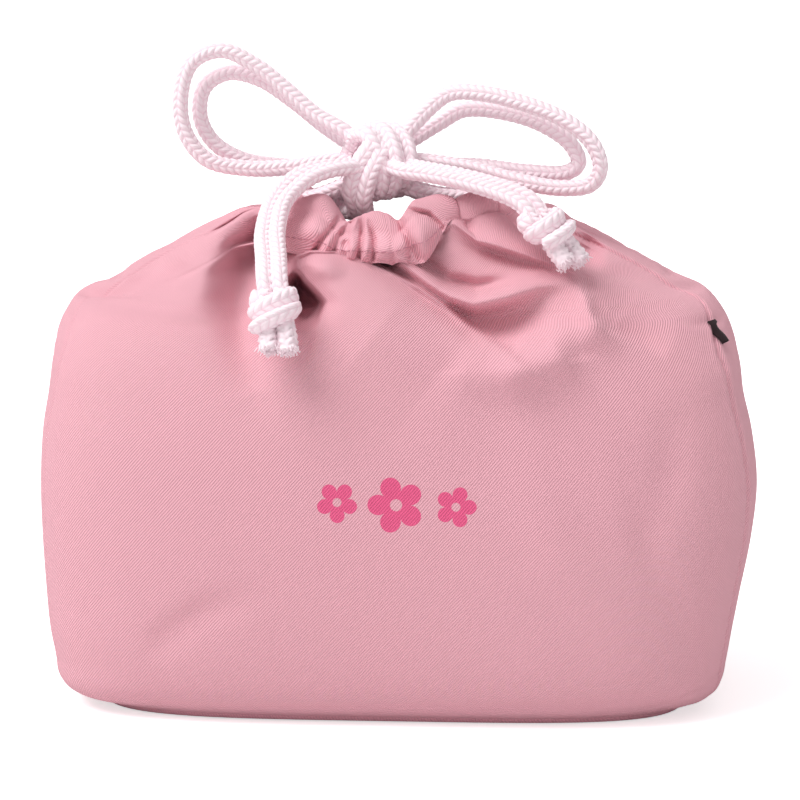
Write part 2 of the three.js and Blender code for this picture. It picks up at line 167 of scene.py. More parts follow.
def mesh_object(name, vertices, faces, uv=None, material=None):
    """A smooth mesh from vertices in millimetres, with one uv pair for each vertex."""
    vertices = np.asarray(vertices, float)
    mesh = bpy.data.meshes.new(name)
    if isinstance(faces, np.ndarray):
        corners = faces.shape[1]
        mesh.vertices.add(len(vertices))
        mesh.vertices.foreach_set("co", (vertices * MM).ravel())
        mesh.loops.add(faces.size)
        mesh.loops.foreach_set("vertex_index", faces.ravel().astype(np.int32))
        mesh.polygons.add(len(faces))
        mesh.polygons.foreach_set("loop_start", np.arange(0, faces.size, corners, dtype=np.int32))
        mesh.update(calc_edges=True)
    else:
        mesh.from_pydata((vertices * MM).tolist(), [], faces)
    if uv is not None:
        layer = mesh.uv_layers.new(name="cloth")
        index = np.zeros(len(mesh.loops), dtype=np.int32)
        mesh.loops.foreach_get("vertex_index", index)
        layer.data.foreach_set("uv", np.asarray(uv, np.float32)[index].ravel())
    mesh.validate()
    mesh.shade_smooth()
    piece = add_object(name, mesh)
    if material:
        mesh.materials.append(material)
    return piece


def grid_faces(rows, columns, closed=False):
    """The quads of a grid of vertices stored row after row."""
    wide = columns if closed else columns - 1
    i, j = np.meshgrid(np.arange(rows - 1), np.arange(wide), indexing="ij")
    k = (j + 1) % columns
    quads = np.stack([i * columns + j, i * columns + k, (i + 1) * columns + k, (i + 1) * columns + j], -1)
    return quads.reshape(-1, 4)


def grid_object(name, points, uv, material, closed=False, flip=False):
    """A mesh from a grid of points, with a uv pair for each."""
    rows, columns = points.shape[:2]
    faces = grid_faces(rows, columns, closed)
    if flip:
        faces = faces[:, ::-1]
    return mesh_object(name, points.reshape(-1, 3), faces, uv.reshape(-1, 2), material)


def linear(color):
    """A colour as it is seen, in the linear values that materials take."""
    return tuple((c / 12.92 if c <= 0.04045 else ((c + 0.055) / 1.055) ** 2.4) for c in color) + (1.0,)


def maths_in(tree):
    """Gives a function that adds a maths node to a tree and returns its output."""
    def maths(operation, a, b=None):
        node = tree.nodes.new("ShaderNodeMath")
        node.operation = operation
        for i, value in enumerate((a, b)):
            if value is None:
                continue
            if isinstance(value, (int, float)):
                node.inputs[i].default_value = value
            else:
                tree.links.new(value, node.inputs[i])
        return node.outputs[0]
    return maths


def axes_of(tree, vector):
    split = tree.nodes.new("ShaderNodeSeparateXYZ")
    tree.links.new(vector, split.inputs[0])
    return split.outputs


def noise(tree, where, scale, detail):
    node = tree.nodes.new("ShaderNodeTexNoise")
    node.inputs["Scale"].default_value = scale
    node.inputs["Detail"].default_value = detail
    tree.links.new(where, node.inputs["Vector"])
    return node.outputs["Fac"]


def new_group(name, inputs, outputs):
    """A shader node group with its sockets, each given by its name, kind and first value."""
    group = bpy.data.node_groups.new(name, "ShaderNodeTree")
    for way, sockets in (("INPUT", inputs), ("OUTPUT", outputs)):
        for socket, kind, value in sockets:
            made = group.interface.new_socket(name=socket, in_out=way, socket_type="NodeSocket" + kind)
            if value is not None:
                made.default_value = value
    begin, end = group.nodes.new("NodeGroupInput"), group.nodes.new("NodeGroupOutput")
    return group, begin.outputs, end.inputs


def new_material(name, **values):
    """A material with its Principled surface set, a value for each named socket."""
    material = bpy.data.materials.new(name)
    material.use_nodes = True
    surface = material.node_tree.nodes["Principled BSDF"]
    for socket, value in values.items():
        surface.inputs[socket.replace("_", " ")].default_value = value
    return material, material.node_tree, surface


# The direction that the twill's lines run in, how they and the yarns share its height, and how
# much painted shade darkens the cloth deep in a fold.
TWILL_RIGHT, TWILL_UP = 0.755, 0.656
LINE_SHARE, YARN_SHARE = 0.8, 0.2
PAINTED_FOLD_DARKENING = 0.3
CLOTH_ROUGHNESS = 0.86


def twill_group():
    """A diagonal weave: lines rising to the right, a little uneven."""
    group, given, put_out = new_group("twill weave", [
        ("Pitch", "Float", 0.75), ("Relief", "Float", 0.1), ("Line Shade", "Float", 0.08),
        ("Mottle", "Float", 0.05), ("Color", "Color", None),
    ], [("Base Color", "Color", None), ("Normal", "Vector", None), ("Roughness", "Float", None)])
    nodes, links = group.nodes, group.links
    maths = maths_in(group)

    def about_middle(value, amount):
        return maths("MULTIPLY", maths("SUBTRACT", value, 0.5), amount)

    def waves(distance):
        turn = maths("DIVIDE", maths("MULTIPLY", distance, 2 * math.pi), given["Pitch"])
        return maths("ADD", maths("MULTIPLY", maths("SINE", turn), 0.5), 0.5)

    where = nodes.new("ShaderNodeUVMap").outputs[0]
    u, v, _ = axes_of(group, where)
    wander = noise(group, where, 0.35, 2.0)
    across = maths("SUBTRACT", maths("MULTIPLY", u, TWILL_RIGHT), maths("MULTIPLY", v, TWILL_UP))
    along = maths("ADD", maths("MULTIPLY", u, TWILL_UP), maths("MULTIPLY", v, TWILL_RIGHT))
    across = maths("ADD", across, maths("MULTIPLY", wander, 0.2))
    line = waves(across)
    yarn = waves(maths("ADD", along, maths("MULTIPLY", across, 0.6)))
    height = maths("ADD", maths("MULTIPLY", line, LINE_SHARE), maths("MULTIPLY", yarn, YARN_SHARE))
    patches = noise(group, where, 0.05, 4.0)
    slubs = noise(group, where, 1.6, 3.0)
    shade = maths("ADD", about_middle(height, given["Line Shade"]), 1.0)
    shade = maths("ADD", shade, about_middle(patches, given["Mottle"]))
    shade = maths("ADD", shade, about_middle(slubs, given["Mottle"]))
    # painted shade: the colour darkens where the cloth lies deep in a fold
    painted_fold_shade = nodes.new("ShaderNodeAttribute")
    painted_fold_shade.attribute_name = "painted_fold_shade"
    painted_fold_factor = maths("SUBTRACT", 1.0, maths("MULTIPLY", painted_fold_shade.outputs["Fac"], PAINTED_FOLD_DARKENING))
    shade = maths("MULTIPLY", shade, painted_fold_factor)
    scale = nodes.new("ShaderNodeVectorMath")
    scale.operation = "SCALE"
    links.new(given["Color"], scale.inputs[0])
    links.new(shade, scale.inputs["Scale"])
    links.new(scale.outputs[0], put_out["Base Color"])
    bump = nodes.new("ShaderNodeBump")
    bump.inputs["Distance"].default_value = MM
    links.new(given["Relief"], bump.inputs["Strength"])
    links.new(height, bump.inputs["Height"])
    links.new(bump.outputs[0], put_out["Normal"])
    links.new(maths("ADD", CLOTH_ROUGHNESS, about_middle(slubs, 0.1)), put_out["Roughness"])
    return group


def fabric(name, color, weave, pitch=0.75, relief=0.1, line_shade=0.08, mottle=0.05):
    """Cloth: plain, or with a weave that has its own pitch, relief and shades."""
    material, tree, surface = new_material(
        name, Specular_IOR_Level=0.15, Sheen_Weight=0.15, Sheen_Roughness=0.5,
        Sheen_Tint=linear((1.0, 0.93, 0.95)),
    )
    if weave:
        group = tree.nodes.new("ShaderNodeGroup")
        group.node_tree = weave
        group.inputs["Pitch"].default_value = pitch
        group.inputs["Relief"].default_value = relief
        group.inputs["Line Shade"].default_value = line_shade
        group.inputs["Mottle"].default_value = mottle
        group.inputs["Color"].default_value = linear(color)
        for socket in ("Base Color", "Roughness", "Normal"):
            tree.links.new(group.outputs[socket], surface.inputs[socket])
    else:
        surface.inputs["Base Color"].default_value = linear(color)
        surface.inputs["Roughness"].default_value = 0.85
    return material


def braid_material(name, color, shade):
    """Cord: slanted stitches in columns, pale on top, with painted shade pinker between them."""
    material, tree, surface = new_material(
        name, Roughness=0.75, Specular_IOR_Level=0.2, Sheen_Weight=0.25, Sheen_Roughness=0.4,
    )
    nodes, links = tree.nodes, tree.links
    maths = maths_in(tree)
    around, along, _ = axes_of(tree, nodes.new("ShaderNodeUVMap").outputs[0])
    column = maths("MULTIPLY", around, BRAID_COLUMNS)
    across = maths("FRACT", column)
    odd = maths("MODULO", maths("FLOOR", column), 2.0)
    slant = maths("ABSOLUTE", maths("SUBTRACT", odd, across))
    travelled = maths("ADD", maths("DIVIDE", along, BRAID_PITCH), maths("MULTIPLY", slant, STITCH_SLANT))
    stitch = maths("ABSOLUTE", maths("SINE", maths("MULTIPLY", travelled, math.pi)))
    edge = maths("SINE", maths("MULTIPLY", across, math.pi))
    edge = maths("POWER", maths("MAXIMUM", edge, 0.0), 0.5)
    height = maths("MULTIPLY", maths("POWER", stitch, 0.7), edge)
    yarn = maths("SUBTRACT", maths("MULTIPLY", across, YARNS), maths("MULTIPLY", travelled, 0.5))
    yarns = maths("SINE", maths("MULTIPLY", yarn, 2 * math.pi))
    fibre = noise(tree, nodes.new("ShaderNodeTexCoord").outputs["Object"], 2600.0, 2.0)
    # painted shade: the colour runs to the pinker shade colour down between the stitches
    ramp = nodes.new("ShaderNodeValToRGB")
    low, high = ramp.color_ramp.elements
    low.position, low.color = 0.05, linear(shade)
    high.position, high.color = 0.48, linear(color)
    links.new(height, ramp.inputs["Fac"])
    links.new(ramp.outputs["Color"], surface.inputs["Base Color"])
    bump = nodes.new("ShaderNodeBump")
    bump.inputs["Strength"].default_value = 0.5
    bump.inputs["Distance"].default_value = 0.6 * MM
    rough = maths("ADD", maths("MULTIPLY", yarns, 0.06), maths("MULTIPLY", fibre, 0.25))
    links.new(maths("ADD", height, rough), bump.inputs["Height"])
    links.new(bump.outputs[0], surface.inputs["Normal"])
    return material


def blossom_group():
    """A five-petalled blossom with a bare middle: 1 on the petals, 0 off them."""
    group, given, put_out = new_group("blossom", [
        (name, "Float", None) for name in ("X", "Z", "Middle X", "Middle Z", "Radius", "Turn")
    ], [("Mask", "Float", None)])
    maths = maths_in(group)
    x = maths("SUBTRACT", given["X"], given["Middle X"])
    z = maths("SUBTRACT", given["Z"], given["Middle Z"])
    reach = maths("SQRT", maths("ADD", maths("MULTIPLY", x, x), maths("MULTIPLY", z, z)))
    turned = maths("ADD", maths("ARCTAN2", z, x), given["Turn"])
    petal = maths("ABSOLUTE", maths("COSINE", maths("MULTIPLY", turned, PETALS / 2)))
    rounded = maths("ADD", 0.5, maths("MULTIPLY", maths("POWER", petal, 0.6), 0.5))
    edge = maths("MULTIPLY", given["Radius"], rounded)
    middle = maths("MULTIPLY", given["Radius"], 0.2)
    inside = maths("DIVIDE", maths("SUBTRACT", edge, reach), PRINT_EDGE)
    outside = maths("DIVIDE", maths("SUBTRACT", reach, middle), PRINT_EDGE)
    mask = maths("MINIMUM", maths("MAXIMUM", maths("MINIMUM", inside, outside), 0.0), 1.0)
    group.links.new(mask, put_out["Mask"])
    return group


def print_blossoms(material, color):
    """Three plain blossoms printed side by side, following the cloth's weave."""
    tree = material.node_tree
    nodes, links = tree.nodes, tree.links
    maths = maths_in(tree)
    surface = nodes["Principled BSDF"]
    cloth = surface.inputs["Base Color"].links[0].from_socket
    weave = cloth.node
    across, _, up = axes_of(tree, nodes.new("ShaderNodeTexCoord").outputs["Object"])
    blossom = blossom_group()
    mask = None
    for x, z, radius, turn in BLOSSOMS:
        one = nodes.new("ShaderNodeGroup")
        one.node_tree = blossom
        links.new(across, one.inputs["X"])
        links.new(up, one.inputs["Z"])
        for name, value in (("Middle X", x), ("Middle Z", z), ("Radius", radius)):
            one.inputs[name].default_value = value * MM
        one.inputs["Turn"].default_value = turn
        mask = one.outputs[0] if mask is None else maths("MAXIMUM", mask, one.outputs[0])
    ink = nodes.new("ShaderNodeGroup")
    ink.node_tree = weave.node_tree
    for name in ("Pitch", "Relief", "Line Shade", "Mottle"):
        ink.inputs[name].default_value = weave.inputs[name].default_value
    ink.inputs["Color"].default_value = linear(color)
    mix = nodes.new("ShaderNodeMix")
    mix.data_type = "RGBA"
    links.new(maths("MULTIPLY", mask, INK_COVER), mix.inputs["Factor"])
    links.new(cloth, mix.inputs["A"])
    links.new(ink.outputs["Base Color"], mix.inputs["B"])
    links.new(mix.outputs["Result"], surface.inputs["Base Color"])


# How a stitch of the braid leans across its column, and the yarns that lie side by side in it.
STITCH_SLANT = 0.8
YARNS = 5.0
# The printed blossoms: where the middle of each lies across and up, its radius and its turn.
BLOSSOMS = [(-15.4, 72.6, 6.4, 0.3), (2.6, 72.0, 8.8, 0.63), (20.8, 71.6, 6.4, 0.0)]
PETALS = 5
PRINT_EDGE = 0.18 * MM
INK_COVER = 0.94

WEAVE = twill_group()
PINK = (0.925, 0.69, 0.735)
CLOTH = fabric("pink twill", PINK, WEAVE, relief=0.5, line_shade=0.26, mottle=0.03)
PRINTED_CLOTH = fabric("pink twill front", PINK, WEAVE, relief=0.5, line_shade=0.26, mottle=0.03)
print_blossoms(PRINTED_CLOTH, (0.93, 0.36, 0.55))
BASE_CLOTH = fabric("pink twill base", (0.88, 0.64, 0.69), WEAVE, relief=0.35, line_shade=0.16)
LINING = fabric("smooth lining", (0.93, 0.76, 0.80), WEAVE, pitch=0.4, relief=0.03, line_shade=0.03)
RIBBON = fabric("dark ribbon", (0.17, 0.12, 0.13), WEAVE, pitch=0.5, relief=0.08)
THREAD = fabric("sewing thread", (0.80, 0.56, 0.62), None)
# the cord's own colour, then the painted shade between its stitches
CORD_PINK = braid_material("braided cord", (1.0, 0.935, 0.957), (0.98, 0.865, 0.905))

# The bag's shell. Each row: height at the sides, half width left and right, then height and
# depth at the front and at the back, then the squareness of the ring.
SHELL = [
    (1.6, 96, 93.5, 1.8, 49, 1.8, 50, 4.0),
    (4.0, 104.6, 100.6, 4.0, 54.5, 4.0, 55, 4.0),
    (9.0, 109.4, 104.8, 8.5, 58, 8.5, 57.6, 4.0),
    (16, 110.6, 106.2, 16, 60, 16, 59.4, 3.9),
    (26, 112.2, 107.8, 26, 61.3, 26, 61, 3.9),
    (38, 113.2, 110, 38, 62.2, 38, 62.2, 3.8),
    (55, 114.2, 113.2, 55, 62.6, 55, 63, 3.7),
    (72, 114.6, 114.8, 72, 62.2, 72, 63, 3.6),
    (88, 113.8, 113, 88, 61, 88, 61.6, 3.5),
    (100, 112, 110.2, 99, 59.2, 99, 59.6, 3.4),
    (110, 110.8, 108.8, 108, 56.8, 108, 56.6, 3.3),
    (119, 109.2, 106, 115.5, 53.6, 115.5, 53.2, 3.1),
    (125, 106.6, 103.4, 121, 50.6, 121, 50, 3.0),
    (131, 102.4, 99.4, 126, 47.4, 126, 47, 2.9),
    (136.5, 96, 91.4, 130.5, 44.2, 130.5, 44, 2.75),
    (142, 89, 84, 134.5, 41.4, 134.5, 41.2, 2.6),
    (147.2, 81, 76, 138.2, 38.8, 138.2, 38.8, 2.5),
    (151.8, 73, 68.6, 143, 36.4, 141.2, 36.4, 2.35),
    (155.6, 65, 60.6, 147, 34.4, 143.6, 34.4, 2.2),
    (158, 57, 53.2, 150.5, 32.8, 145.4, 32.6, 2.1),
    (158.8, 50, 48, 153.5, 31.6, 146.8, 31.4, 2.0),
    (158, 45, 44, 155, 30.8, 147.6, 30.6, 2.0),
]
SHELL_ROWS = 250
# The columns of cloth between two seams: of the wide panels, and of the gussets.
FRONT_COLUMNS, SIDE_COLUMNS = 330, 110
# The points of a quarter of a ring, and the share of its depth at which a seam stands.
QUARTER = 400
SEAM_SHARE = 0.56
# Angles round the bag are taken with its depth stretched, so that the folds spread evenly.
DEPTH_STRETCH = 1.5
# Stretches round the mouth in degrees: where each begins, is full, starts to fade and ends. The
# front rim is drawn down between its two lobes, the channel's foot lies low behind the big fold,
# and the back of the mouth sinks below the bow.
RIM_NOTCH = (-128, -112, -91, -80)
FOOT_NOTCH = (-160, -147, -79, -66)
BACK_NOTCH = (62, 80, 122, 140)
BACK_DIP, BACK_DIP_ROWS = 9, 34


def quarter(squareness):
    """A quarter of a ring, from its side to its middle, as shares."""
    t = np.linspace(0, math.pi / 2, QUARTER)
    return np.cos(t) ** (2 / squareness), np.sin(t) ** (2 / squareness)


def angle_round(x, y):
    return np.arctan2(y * DEPTH_STRETCH, x)


def wrapped(angle):
    """An angle brought to lie between half a turn back and half a turn on."""
    return (angle + math.pi) % (2 * math.pi) - math.pi


def notch(angle, stretch):
    """1 in the middle of a stretch round the mouth, and 0 beyond its ends."""
    place = np.degrees(angle)
    return smooth_step(place, *stretch[:2]) * (1 - smooth_step(place, *stretch[2:]))


def shell_grid():
    """The bag's skin without folds: points of its rings from the base to the neck."""
    rows, along = smooth_rows(SHELL, SHELL_ROWS)
    columns = 2 * (FRONT_COLUMNS + SIDE_COLUMNS)
    points = np.zeros((SHELL_ROWS, columns, 3))
    for i, (zs, left, right, zf, front, zb, back, squareness) in enumerate(rows):
        cx, cy = quarter(squareness)
        ring_x = np.concatenate([right * cx, -left * cx[::-1][1:], -left * cx[1:], right * cx[::-1][1:-1]])
        share = np.concatenate([cy, cy[::-1][1:], -cy[1:], -cy[::-1][1:-1]])
        ring_y = share * np.where(share < 0, front, back)
        z = zs + (np.where(share < 0, zf, zb) - zs) * np.abs(share) ** 2
        sunk = np.where(share < 0, 0, BACK_DIP * notch(angle_round(ring_x, ring_y), BACK_NOTCH))
        z -= sunk * smooth_step(i, SHELL_ROWS - BACK_DIP_ROWS, SHELL_ROWS - 1)
        ring = np.stack([ring_x, ring_y, z], 1)
        ring = np.vstack([ring, ring[:1]])
        share = np.append(share, share[0])
        travelled = travelled_along(ring)
        total = travelled[-1]
        seams = []
        for q in range(4):
            part = slice(q * (QUARTER - 1), (q + 1) * (QUARTER - 1) + 1)
            way = 1 if q % 2 == 0 else -1
            seams.append(np.interp(SEAM_SHARE, np.abs(share[part])[::way], travelled[part][::way]))
        # the columns: front panel from left to right, right side, back, left side
        spans = [
            (seams[2], seams[3], FRONT_COLUMNS),
            (seams[3], seams[0] + total, SIDE_COLUMNS),
            (seams[0] + total, seams[1] + total, FRONT_COLUMNS),
            (seams[1] + total, seams[2] + total, SIDE_COLUMNS),
        ]
        place = np.concatenate([np.linspace(a, b, c, endpoint=False) for a, b, c in spans]) % total
        for axis in range(3):
            points[i, :, axis] = np.interp(place, travelled, ring[:, axis])
    return points, along


def normals_of(points, closed=True):
    down_up = np.gradient(points, axis=0)
    if closed:
        around = (np.roll(points, -1, axis=1) - np.roll(points, 1, axis=1)) / 2
    else:
        around = np.gradient(points, axis=1)
    n = np.cross(around, down_up)
    return n / np.maximum(np.linalg.norm(n, axis=2, keepdims=True), 1e-9)


def near_line(px, py, line):
    """Distance to a drawn line, the side of it (+1 above or right of it) and how far along."""
    line = np.asarray(line, float)
    lengths = np.linalg.norm(np.diff(line, axis=0), axis=1)
    start = np.concatenate([[0], np.cumsum(lengths)])
    best = np.full(px.shape, 1e9)
    side = np.zeros(px.shape)
    share = np.zeros(px.shape)
    for i, ((x0, y0), (x1, y1)) in enumerate(zip(line[:-1], line[1:])):
        dx, dy = x1 - x0, y1 - y0
        t = np.clip(((px - x0) * dx + (py - y0) * dy) / (dx * dx + dy * dy), 0, 1)
        away_x, away_y = px - (x0 + dx * t), py - (y0 + dy * t)
        away = np.hypot(away_x, away_y)
        closer = away < best
        best = np.where(closer, away, best)
        side = np.where(closer, np.sign(dy * away_x - dx * away_y + 1e-9), side)
        share = np.where(closer, (start[i] + t * lengths[i]) / start[-1], share)
    return best, side, share


def along_values(share, values):
    return np.interp(share, np.linspace(0, 1, len(values)), values)


def ridge(px, py, line, heights, above, below):
    """A ridge (or, with heights under 0, a valley) along a line, with its own width on each side."""
    away, side, share = near_line(px, py, line)
    width = np.where(side > 0, above, below)
    return along_values(share, heights) * np.exp(-((away / width) ** 2))


def ledge(px, py, line, depths, sharp, reach):
    """The cloth drops away behind a line, and comes back further off."""
    away, side, share = near_line(px, py, line)
    drop = (1 - np.exp(-((away / sharp) ** 2))) * np.exp(-((away / reach) ** 2))
    return np.where(side > 0, -along_values(share, depths) * drop, 0)


def hollow(px, py, centre, radii, tilt, depth, edge):
    """An oval dent (or, with a depth under 0, a swelling) that is flat within a share of its radii."""
    c, s = math.cos(math.radians(tilt)), math.sin(math.radians(tilt))
    x, y = px - centre[0], py - centre[1]
    r = np.hypot((x * c + y * s) / radii[0], (-x * s + y * c) / radii[1])
    return -depth * (1 - smooth_step(r, edge, 1.0))


# The folds of the front, as they lie in the picture. A ridge or ledge has its line in pixels,
# its heights in millimetres and its two widths. A hollow has its middle, radii, tilt and depth.
LIP = [
    (316, 332), (322, 316), (327, 303), (318, 293), (306, 281), (298, 267), (298, 258), (310, 253),
    (334, 253), (358, 260), (386, 272), (418, 290), (444, 308), (467, 328), (498, 347), (514, 357),
]
UPPER_FOLD = [(580, 273), (532, 257), (478, 240), (454, 224)]
MIDDLE_FOLD = [(575, 278), (539, 285), (505, 297), (474, 304), (450, 296), (428, 282), (402, 263)]
SHOULDER_FOLD = [(562, 277), (577, 284), (586, 298), (592, 318), (606, 334), (632, 346), (664, 362)]
BIG_FOLD = [
    # the big fold in the middle, its rolled lip and the drop behind it
    (ridge, [(318, 284), (374, 322), (440, 374)], [5, 8, 3], 48, 66),
    (ledge, LIP, [2, 8, 14, 16, 14, 13, 13, 13, 12, 11, 10, 7, 2], 4, 44),
    (ridge, LIP, [0, -3, -5, -6, -5, -4, -4, -4, -4, -4, -3, -1, 0], 1, 9),
]
FRONT_FOLDS = [
    # the folds that sweep right from the mouth, one over the other
    (ledge, UPPER_FOLD, [1, 6, 8, 1], 5, 17),
    (ridge, UPPER_FOLD, [1, 3, 4, 1], 2, 15),
    (ledge, MIDDLE_FOLD, [0, 1, 3, 5, 6, 6, 3], 9, 30),
    (ridge, MIDDLE_FOLD, [1, 4, 7, 9, 9, 9, 9], 8, 14),
    (ridge, [(414, 250), (430, 266), (446, 280), (476, 287), (520, 279)], [-3, -5, -6, -5, -1], 7, 7),
    (hollow, (512, 322), (56, 26), -12, 3, 0.1),
    (ridge, [(490, 350), (515, 360), (552, 350), (580, 324)], [2, 5, 6, 2], 17, 22),
    # the base seam, where it climbs round the right corner
    (ridge, [(724, 664), (702, 686), (668, 702), (630, 710), (590, 715)],
     [-0.6, -1.1, -1.1, -0.9, -0.3], 2.4, 2.4),
    # the right shoulder: its ridge, the drop beside it and the hollow above
    (ridge, [(574, 276), (590, 298), (598, 320), (590, 352)], [4, 7, 6, 1], 25, 17),
    (ledge, SHOULDER_FOLD, [1, 4, 7, 7, 5, 3, 0], 5, 36),
    (hollow, (586, 252), (22, 28), -14, 8, 0.1),
    (ridge, [(470, 374), (515, 376), (560, 364)], [2, 4, 3], 14, 24),
    # the left shoulder: its ridge, and the valley beside the tail
    (ridge, [(250, 222), (224, 236), (204, 266), (196, 296), (194, 326)], [5, 10, 10, 4, 0], 17, 32),
    (ridge, [(268, 238), (248, 262), (240, 300), (246, 350), (258, 394)], [-9, -16, -14, -6, -1], 23, 23),
    (ridge, [(226, 216), (200, 224), (168, 248), (140, 282)], [-1, -2.4, -3.4, -1.4], 8, 13),
    # wide soft dents and swells lower down
    (ridge, [(160, 640), (200, 612), (250, 596)], [-1.2, -1.6, -0.4], 14, 18),
    (ridge, [(672, 430), (668, 470), (662, 520)], [-0.8, -1.6, -0.8], 20, 20),
    (ridge, [(640, 660), (560, 560), (520, 450)], [1.0, 1.4, 0.4], 26, 26),
    (ridge, [(690, 640), (650, 560), (630, 460)], [-1.0, -1.4, -0.4], 18, 18),
]


def with_folds(h, px, py, folds):
    """A height with each fold of a table added to it in turn."""
    for kind, *shape in folds:
        h = h + kind(px, py, *shape)
    return h


def drawn_folds(px, py):
    """How far the front comes towards the eye, with each fold laid along its line in the picture."""
    h = with_folds(np.zeros(px.shape), px, py, BIG_FOLD)
    away, side, _ = near_line(px, py, LIP)
    outside = np.where(side > 0, smooth_step(away, 0, 4), 0)
    h += hollow(px, py, (306, 298), (24, 34), 0, 22, 0.5) * outside
    h += hollow(px, py, (326, 266), (26, 18), 20, -4, 0.0) * (1 - outside)
    return with_folds(h, px, py, FRONT_FOLDS)


def towards_eye(points):
    way = LOOK_AT + camera_axes()[2] * CAMERA_DISTANCE - points
    return way / np.linalg.norm(way, axis=-1, keepdims=True)


def rolls(angle, edges, heights):
    """Round-topped folds with sharp valleys between given angles."""
    place = np.searchsorted(edges, angle, side="right") - 1
    place = np.clip(place, 0, len(edges) - 2)
    share = (angle - edges[place]) / (edges[place + 1] - edges[place])
    return (np.sqrt(np.maximum(1 - (2 * share - 1) ** 2, 0)) - 0.72) * heights[place]


RANDOM = np.random.default_rng(11)
# The pleats at the mouth: where each ends, in degrees round it, and how far it stands out.
FRONT_PLEATS = [
    (-156, 1.2), (-124, 0.8), (-116, 0.7), (-110, 1.0), (-104, 0.6), (-100, 1.1), (-91, 0.8), (-84, 1.6),
    (-60, 1.3), (-38, 1.4), (-10, 1.2), (4, 1.0),
]
BACK_STEPS = RANDOM.uniform(0.6, 1.5, 19)
BACK_EDGES = 4 + 176 * np.cumsum(BACK_STEPS) / BACK_STEPS.sum()
FINE_EDGES = np.radians(np.concatenate([[-180], [e for e, _ in FRONT_PLEATS], BACK_EDGES]))
FINE_HEIGHTS = np.concatenate([[h for _, h in FRONT_PLEATS], 0.55 + 0.6 * BACK_STEPS])
# The broad folds below them, which part the whole turn in uneven steps.
BROAD_STEPS = RANDOM.uniform(0.6, 1.5, 17)
BROAD_EDGES = np.concatenate([[0], np.cumsum(BROAD_STEPS)]) / BROAD_STEPS.sum() * 2 * math.pi - math.pi
BROAD_HEIGHTS = RANDOM.uniform(0.5, 1.3, 17)
# How deep the pleats and broad folds are as the cloth starts to settle, and the pleats after it.
START_DEPTH, BROAD_DEPTH, PLEAT_DEPTH = 3.0, 7.5, 2.6
# The rounds of smoothing that calm the front, and those that the pleats stand on.
CALM_ROUNDS, PLEAT_ROUNDS = 300, 24
# The part of the picture that is calmed: its middle, and the reach where the calm fades.
CALM_MIDDLE, CALM_REACH = 405, (-335, -240)
# The slits in the hem lie beyond this half width, and how far their rims sink and roll in.
SLIT_SIDE = 30
SLIT_SINK, SLIT_ROLL = 1.0, 1.6


def build_shell():
    """The shell settled as cloth, before and after the picture's folds are laid on it."""
    points, along = shell_grid()
    normal = normals_of(points)
    to_neck = (along[-1] - along)[:, None]
    angle = angle_round(points[..., 0], points[..., 1])
    facing = smooth_step(-points[..., 1], -12, 8)
    twist = 0.006 * np.sin(3 * angle + 1.0) * to_neck
    fine = START_DEPTH * rolls(wrapped(angle + twist), FINE_EDGES, FINE_HEIGHTS)
    fine = fine * np.exp(-((to_neck / 13) ** 1.5))
    broad = BROAD_DEPTH * rolls(wrapped(angle - twist * 1.3), BROAD_EDGES, BROAD_HEIGHTS)
    broad = broad * smooth_step(to_neck, 0, 12) * np.exp(-((to_neck / 34) ** 2))
    height = fine + broad * (1 - facing) * 0.5
    moved = settled_shell(points, points + normal * height[..., None])
    # the front is smooth, apart from the folds laid on it next
    px, _ = seen_at(moved)
    across = smooth_step(-np.abs(px - CALM_MIDDLE), *CALM_REACH)
    calm = across * smooth_step(-moved[..., 1], -8, 20)
    even = soften(moved, CALM_ROUNDS)
    moved = moved + (even - moved) * (calm * (0.65 + 0.35 * across))[..., None]
    # the neck lies lower where the big fold hides it
    hidden = notch(angle, FOOT_NOTCH)
    front = smooth_step(-moved[..., 1], 0, 10)
    behind = hidden * (1 - smooth_step(to_neck, 0, 9)) * front
    lower = hidden * (1 - smooth_step(to_neck, 6, 26)) * front
    moved[..., 2] -= 8 * behind + 5 * lower
    moved[..., 1] += 1.5 * behind
    # the hem rolls in at the two slits
    slit = 1 - smooth_step(np.abs(moved[..., 1]), 8, 16)
    slit = slit * (1 - smooth_step(to_neck, 0, 7)) * (np.abs(moved[..., 0]) > SLIT_SIDE)
    moved[..., 2] -= SLIT_SINK * slit
    moved[..., 0] -= SLIT_ROLL * slit * np.sign(moved[..., 0])
    px, py = seen_at(moved)
    normal = normals_of(soften(moved, PLEAT_ROUNDS))
    pleats = PLEAT_DEPTH * rolls(angle, FINE_EDGES, FINE_HEIGHTS) * np.exp(-((to_neck / 14) ** 1.5))
    pleats = pleats * calm * smooth_step(to_neck, 0, 3) * (1 - hidden)
    unfolded = moved + normal * pleats[..., None]
    facing = smooth_step(-normal[..., 1], 0.05, 0.4)
    folds = drawn_folds(px, py) * facing * smooth_step(to_neck / (6 - 3 * hidden), 0, 1)
    return unfolded, unfolded + towards_eye(unfolded) * folds[..., None], along, angle, folds


# The settling cloth: its scale, its density, its steps and how hard the bag's filling presses.
SIM_SCALE = 0.01
SIM_COLUMNS, SIM_ROWS = 330, 84
SIM_FRAMES, SIM_QUICK_FRAMES = 24, 6
SIM_PRESSURE = 13.0
SIM_SETTINGS = {
    "quality": 5, "mass": 0.25,
    "tension_stiffness": 22, "compression_stiffness": 16, "shear_stiffness": 6, "bending_stiffness": 1.6,
    "tension_damping": 12, "compression_damping": 12, "shear_damping": 8, "bending_damping": 1.0,
    "air_damping": 6, "vertex_group_mass": "held", "pin_stiffness": 1.0,
}
# The cloth settles above the first height. It is held fast up to the second and free past the
# third, and its lowest rows blend into the shell below.
SIM_FOOT = 74
SIM_HELD = (86, 128)
SIM_BLEND_ROWS = 42


